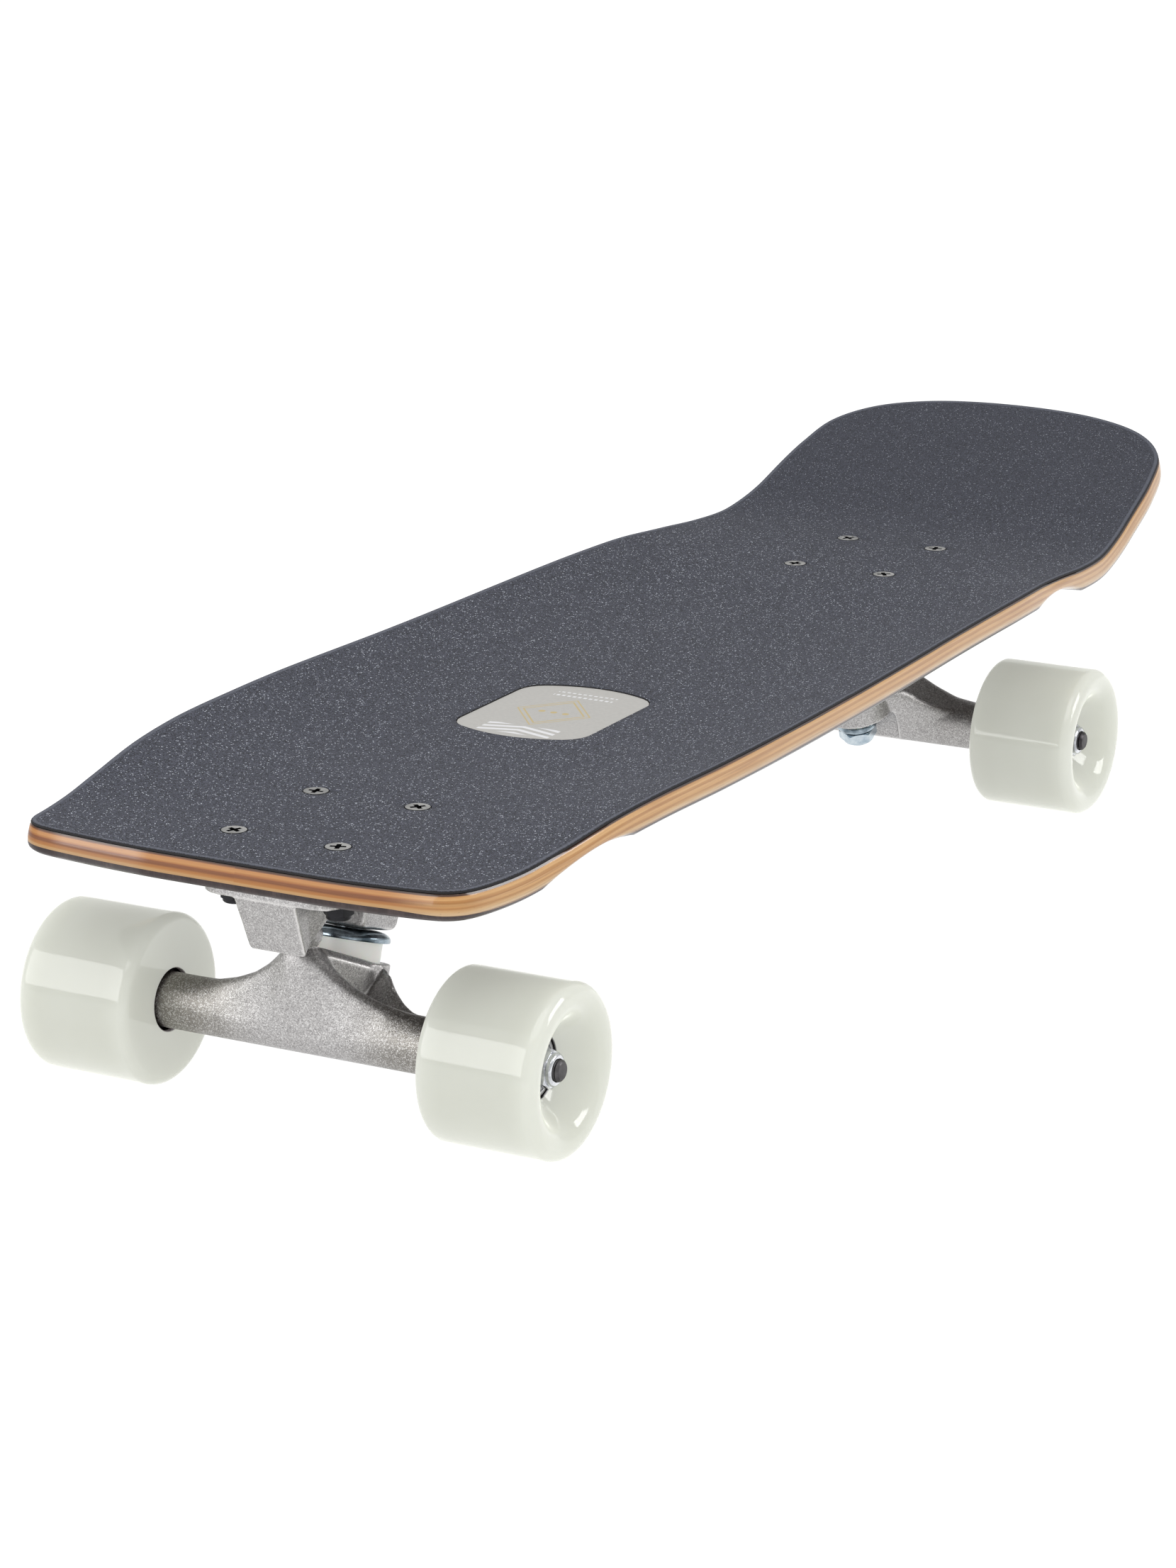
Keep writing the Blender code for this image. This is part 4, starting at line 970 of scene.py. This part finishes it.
# Trucks
def truck_frames(end):
    """Frames along a truck's kingpin, its steering axis and its axle."""
    joint = JOINTS[end + "_steer"]
    ring = Vector(joint["pos_m"])
    steer = Vector(joint["axis"])
    ahead = math.copysign(1, steer.x)
    pin = axis_frame(ring, (-ahead * math.sin(LEAN), 0, math.cos(LEAN)))
    spin = Vector(JOINTS[end + "_left_spin"]["pos_m"])
    axle = axis_frame((spin.x, 0, spin.z), (0, 1, 0))
    return pin, axis_frame(ring, steer), axle


def creases(mesh, bend):
    """Points along a mesh's sharp edges, with 1 where the edge stands out, 0 in a corner."""
    shape = bmesh.new()
    shape.from_mesh(mesh)
    found = []
    for edge in shape.edges:
        if len(edge.link_faces) != 2 or edge.calc_face_angle() < bend:
            continue
        one, two = (v.co for v in edge.verts)
        stands = 1.0 if edge.calc_face_angle_signed() > 0 else 0.0
        steps = max(1, round((two - one).length / CREASE_STEP))
        found += [(one.lerp(two, k / steps), stands) for k in range(steps + 1)]
    shape.free()
    return found


def cast_piece(node, name, body):
    """A CAD casting whose broad faces flow and whose edges keep a mould's small radius."""
    obj = copied(frame["nodes"][node], name)
    mend(obj)
    found = creases(obj.data, CREASE_BEND)
    tree = KDTree(len(found))
    for number, (point, _) in enumerate(found):
        tree.insert(point, number)
    tree.balance()
    modify(obj, "REMESH", mode="VOXEL", voxel_size=VOXEL, use_smooth_shade=True)
    hits = [tree.find(v.co) for v in obj.data.vertices]
    away = np.array([hit[2] for hit in hits])
    flow = smooth((away - CREASE_KEPT) / FLOW_RUN)
    group = obj.vertex_groups.new(name="flow")
    for level in range(1, FLOW_LEVELS + 1):
        chosen = np.flatnonzero(np.round(flow * FLOW_LEVELS) == level)
        group.add(chosen.tolist(), level / FLOW_LEVELS, "REPLACE")
    modify(obj, "SMOOTH", factor=0.5, iterations=FLOW_PASSES, vertex_group="flow")
    modify(obj, "SMOOTH", factor=0.5, iterations=EDGE_PASSES)
    obj.vertex_groups.clear()
    # painted highlight: the rim attribute lightens a strip along the outer edges
    stands = np.array([found[hit[1]][1] for hit in hits])
    rim = obj.data.attributes.new("rim", "FLOAT", "POINT")
    wear_and_sheen = stands * (1 - smooth(away / EDGE_HIGHLIGHT_WIDTH))
    rim.data.foreach_set("value", wear_and_sheen.astype(np.float32))
    pick(obj)
    bpy.ops.object.shade_smooth()
    finished(obj, "cast_aluminium", body, node)


def cup_washer(name, node, axis, lip_down):
    """A cup washer, domed on one side and hollow inside its lip."""
    low, high, radius = reach(node, axis)
    tall = high - low
    base, up = (low, 1) if lip_down else (high, -1)
    profile = softened([
        (KINGPIN_HOLE, tall), (radius * 0.66, tall), (radius * 0.88, tall * 0.84), (radius, tall * 0.45),
        (radius, 0.0), (radius - 1.2 * MM, 0.0), (radius - 1.5 * MM, tall * 0.4),
        (radius * 0.6, tall * 0.48), (KINGPIN_HOLE, tall * 0.48),
    ], 1.0 * MM, closed=True)
    washer = turned(name, [(r, base + up * h) for r, h in profile], axis, 72)
    finished(washer, "zinc", "board", node, finish="washer_zinc")


def bushing(name, node, axis, from_top):
    """A urethane bushing turned about the kingpin: straight at the board, tapered towards the road."""
    low, high, radius = reach(node, axis)
    if from_top:
        side = [(radius, high), (radius, low)]
    else:
        side = [
            (radius, high), (radius - 0.3 * MM, high - 3.4 * MM),
            (BUSHING_TIP_R, low + 2.2 * MM), (BUSHING_TIP_R, low),
        ]
    profile = [(KINGPIN_HOLE, high)] + side + [(KINGPIN_HOLE, low)]
    # closely divided along its sides
    dense = []
    for (r0, h0), (r1, h1) in zip(profile, profile[1:]):
        steps = max(1, round(abs(h1 - h0) / (1.5 * MM)))
        dense += [(r0 + (r1 - r0) * k / steps, h0 + (h1 - h0) * k / steps) for k in range(steps)]
    dense.append(profile[-1])
    obj = turned(name, softened(dense, 0.7 * MM, 3), axis, 72, 40)
    finished(obj, "bushing_urethane")
    seat, washer = (low, high) if from_top else (high, low)
    axis @ Vector((0, 0, washer))
    axis @ Vector((0, 0, seat))
    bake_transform(obj)
    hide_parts(node)


def threaded(radius, low, high):
    """Profile of a threaded rod's end, from its tip at high down to low."""
    profile = [(0, high), (radius - 0.9 * MM, high), (radius - 0.2 * MM, high - 0.6 * MM)]
    for k in range(int((high - low) / THREAD_PITCH)):
        top = high - 0.7 * MM - k * THREAD_PITCH
        profile += [(radius, top - THREAD_PITCH * 0.3), (radius - 0.35 * MM, top - THREAD_PITCH * 0.8)]
    return profile


def build_truck(end):
    pin, steer, axle = truck_frames(end)
    hanger_body = end + "_hanger"
    cast_piece("hanger_" + end, "cast_hanger_" + end, hanger_body)
    cast_piece("baseplate_" + end, "cast_baseplate_" + end, "board")

    cup_washer("dome_washer_" + end, "washer_board_" + end, pin, lip_down=True)
    cup_washer("small_washer_" + end, "washer_road_" + end, pin, lip_down=False)
    bushing("board_bushing_" + end, "bushing_board_" + end, pin, from_top=True)
    bushing("road_bushing_" + end, "bushing_road_" + end, pin, from_top=False)

    low, high, corner = reach("kingpin_nut_" + end, pin)
    nut = hex_nut("lock_nut_" + end, low, high, corner, KINGPIN_NUT_BORE, pin)
    finished(nut, "zinc", "board", "kingpin_nut_" + end)

    low, high, corner = reach("kingpin_" + end, pin)
    neck = high - KINGPIN_HEAD / 2
    tip = [(r, -h) for r, h in threaded(KINGPIN_R, -low - KINGPIN_THREAD, -low)]
    shank = [(KINGPIN_R, low + KINGPIN_THREAD + 2 * MM), (KINGPIN_R, neck), (0, neck)]
    bolt = turned("kingpin_bolt_" + end, tip + shank, pin, 48)
    head = hex_nut("head", high - KINGPIN_HEAD, high, corner, 0.5 * MM, pin, collar=False)
    combine(bolt, head, "UNION")
    mend(bolt, 30)
    finished(bolt, "zinc", "board", "kingpin_" + end)

    low, high, radius = reach("pivot_cup_" + end, steer)
    face = low + 1.0 * MM
    cup = turned("pivot_bush_" + end, softened([
        (0, high), (6.2 * MM, high), (radius, face), (radius, low), (PIVOT_R + 0.8 * MM, low),
        (PIVOT_R, face), (PIVOT_R, high - 5.5 * MM), (PIVOT_R * 0.6, high - 2.2 * MM),
        (0, high - 1.2 * MM),
    ], 0.4 * MM), steer, 48)
    finished(cup, "pivot_urethane", "board", "pivot_cup_" + end)

    low, high, radius = reach("axle_" + end, axle)
    tip = threaded(radius, high - AXLE_THREAD, high)
    back = [(r, -h) for r, h in reversed(tip)]
    rod = turned("threaded_axle_" + end, tip + back, axle, 40)
    finished(rod, "axle_steel", hanger_body, "axle_" + end)


# Wheels
def wheel_profile(wide, radius):
    """Radius and place across the wheel: tread, lips, bowl and bearing seats."""
    rows = [(SEAT_R, 0.35 * MM), (SEAT_R + 0.4 * MM, 0.0)]
    inner = [
        (radius - LIP_IN + LIP_IN * math.sin(a), LIP_IN - LIP_IN * math.cos(a))
        for a in np.linspace(0, math.pi / 2, 9)
    ]
    outer = [
        (radius - LIP_OUT + LIP_OUT * math.cos(a), wide - LIP_OUT + LIP_OUT * math.sin(a))
        for a in np.linspace(0, math.pi / 2, 12)
    ]
    dish = [tuple(p) for p in curve([np.array(p) * MM for p in BOWL], BOWL_STEP)][1:]
    tread = [(radius, LIP_IN + (wide - LIP_IN - LIP_OUT) * k / 10) for k in range(1, 10)]
    seats = [
        (SEAT_R, SEAT_OUTER[1]), (SEAT_R, SEAT_OUTER[0]), (CORE_R, SEAT_OUTER[0]),
        (CORE_R, SEAT_INNER[1]), (SEAT_R, SEAT_INNER[1]), (SEAT_R, SEAT_INNER[0]),
    ]
    return rows + inner + tread + outer + dish + seats


def bearing_profile():
    """Outer race, sunk shield and inner race, symmetric about the bearing's middle."""
    side = [(radius * MM, BEARING_HALF - sunk * MM) for radius, sunk in BEARING_SIDE]
    return side + [(r, -h) for r, h in reversed(side)]


def build_wheel(end, side):
    sign = 1 if side == "left" else -1
    where = end + "_" + side
    spot = Vector(JOINTS[where + "_spin"]["pos_m"])
    out = axis_frame((spot.x, 0, spot.z), (0, sign, 0))
    body = where + "_wheel"
    low, high, radius = reach("wheel_" + where, out)
    profile = [(r, h - (high - low) / 2) for r, h in wheel_profile(high - low, radius)]
    middle = out @ Matrix.Translation((0, 0, (low + high) / 2))
    wheel = turned("urethane_wheel_" + where, profile, middle, 128, 30)
    finished(wheel, "wheel_urethane", body, "wheel_" + where)

    for node in ("bearing_inner_" + where, "bearing_outer_" + where):
        low, high, _ = reach(node, out)
        middle = out @ Matrix.Translation((0, 0, (low + high) / 2))
        bearing = turned("shielded_" + node, bearing_profile(), middle, 64, 25)
        finished(bearing, "bearing_steel", body, node)

    low, high, corner = reach("axle_nut_" + where, out)
    flip = out @ Matrix.Translation((0, 0, low + high)) @ Matrix.Rotation(math.pi, 4, "X")
    nut = hex_nut("chrome_nut_" + where, low, high, corner, AXLE_NUT_BORE, flip)
    finished(nut, "nut_chrome", end + "_hanger", "axle_nut_" + where)
    finished(frame["nodes"]["spacer_" + where], "bearing_steel")


# Studio
def build_lamps():
    for name, spot, aim, size, power, on_matt in LAMPS:
        data = bpy.data.lights.new(name, "AREA")
        data.shape = "RECTANGLE"
        data.size, data.size_y = size
        data.energy = power
        lamp = linked(name, data)
        lamp.location = spot
        lamp.rotation_euler = (Vector(aim) - Vector(spot)).to_track_quat("-Z", "Y").to_euler()
        lamp.visible_diffuse = on_matt
        lamp.visible_camera = False


def build_floor():
    """Pale paper. Camera and gloss see it nearly white, and it is clear from below."""
    deselect()
    bpy.ops.mesh.primitive_plane_add(size=FLOOR_SIZE, location=(0, 0, 0))
    floor = bpy.context.object
    floor.name = "floor"
    paper = Finish("paper", Base_Color=FLOOR_TONE, Roughness=1.0)
    seen = paper.node("LightPath", out="Is Camera Ray").most(paper.node("LightPath", out="Is Glossy Ray"))
    lit = Wire(paper, paper.shader.outputs["BSDF"])
    glow = paper.node("Emission", {}, {"Strength": FLOOR_GLOW})
    above = paper.node("MixShader", {}, {0: seen * FLOOR_GLOW_SHARE, 1: lit, 2: glow})
    below = paper.node("BsdfTransparent")
    from_below = paper.node("NewGeometry", out="Backfacing")
    both = paper.node("MixShader", {}, {0: from_below, 1: above, 2: below})
    paper.links.new(both.socket, paper.nodes["Material Output"].inputs["Surface"])
    floor.data.materials.append(paper.material)


def build_world():
    """Plain soft light all round, which the camera sees as white."""
    world = bpy.data.worlds.new("studio")
    bpy.context.scene.world = world
    world.use_nodes = True
    nodes = world.node_tree.nodes
    links = world.node_tree.links
    soft = nodes["Background"]
    white = nodes.new("ShaderNodeBackground")
    for background, strength in ((soft, WORLD_LIGHT), (white, 1.0)):
        background.inputs["Color"].default_value = (1, 1, 1, 1)
        background.inputs["Strength"].default_value = strength
    mixer = nodes.new("ShaderNodeMixShader")
    path = nodes.new("ShaderNodeLightPath")
    links.new(path.outputs["Is Camera Ray"], mixer.inputs["Fac"])
    links.new(soft.outputs["Background"], mixer.inputs[1])
    links.new(white.outputs["Background"], mixer.inputs[2])
    links.new(mixer.outputs["Shader"], nodes["World Output"].inputs["Surface"])


def build_camera():
    data = bpy.data.cameras.new("camera")
    data.sensor_width = CAMERA_SENSOR
    data.lens = CAMERA_LENS
    data.clip_start = CAMERA_NEAR
    camera = linked("camera", data)
    camera.matrix_world = (
        Matrix.Translation(CAMERA_PLACE)
        @ Matrix.Rotation(CAMERA_HEADING, 4, "Z")
        @ Matrix.Rotation(math.pi / 2 - CAMERA_PITCH, 4, "X")
        @ Matrix.Rotation(CAMERA_ROLL, 4, "Z")
    )
    bpy.context.scene.camera = camera


build_deck()
build_bolts()
build_lock_nuts()
for end in ENDS:
    build_truck(end)
    for side in SIDES:
        build_wheel(end, side)
build_floor()
build_world()
build_lamps()
build_camera()
bpy.context.scene.view_settings.view_transform = "Standard"
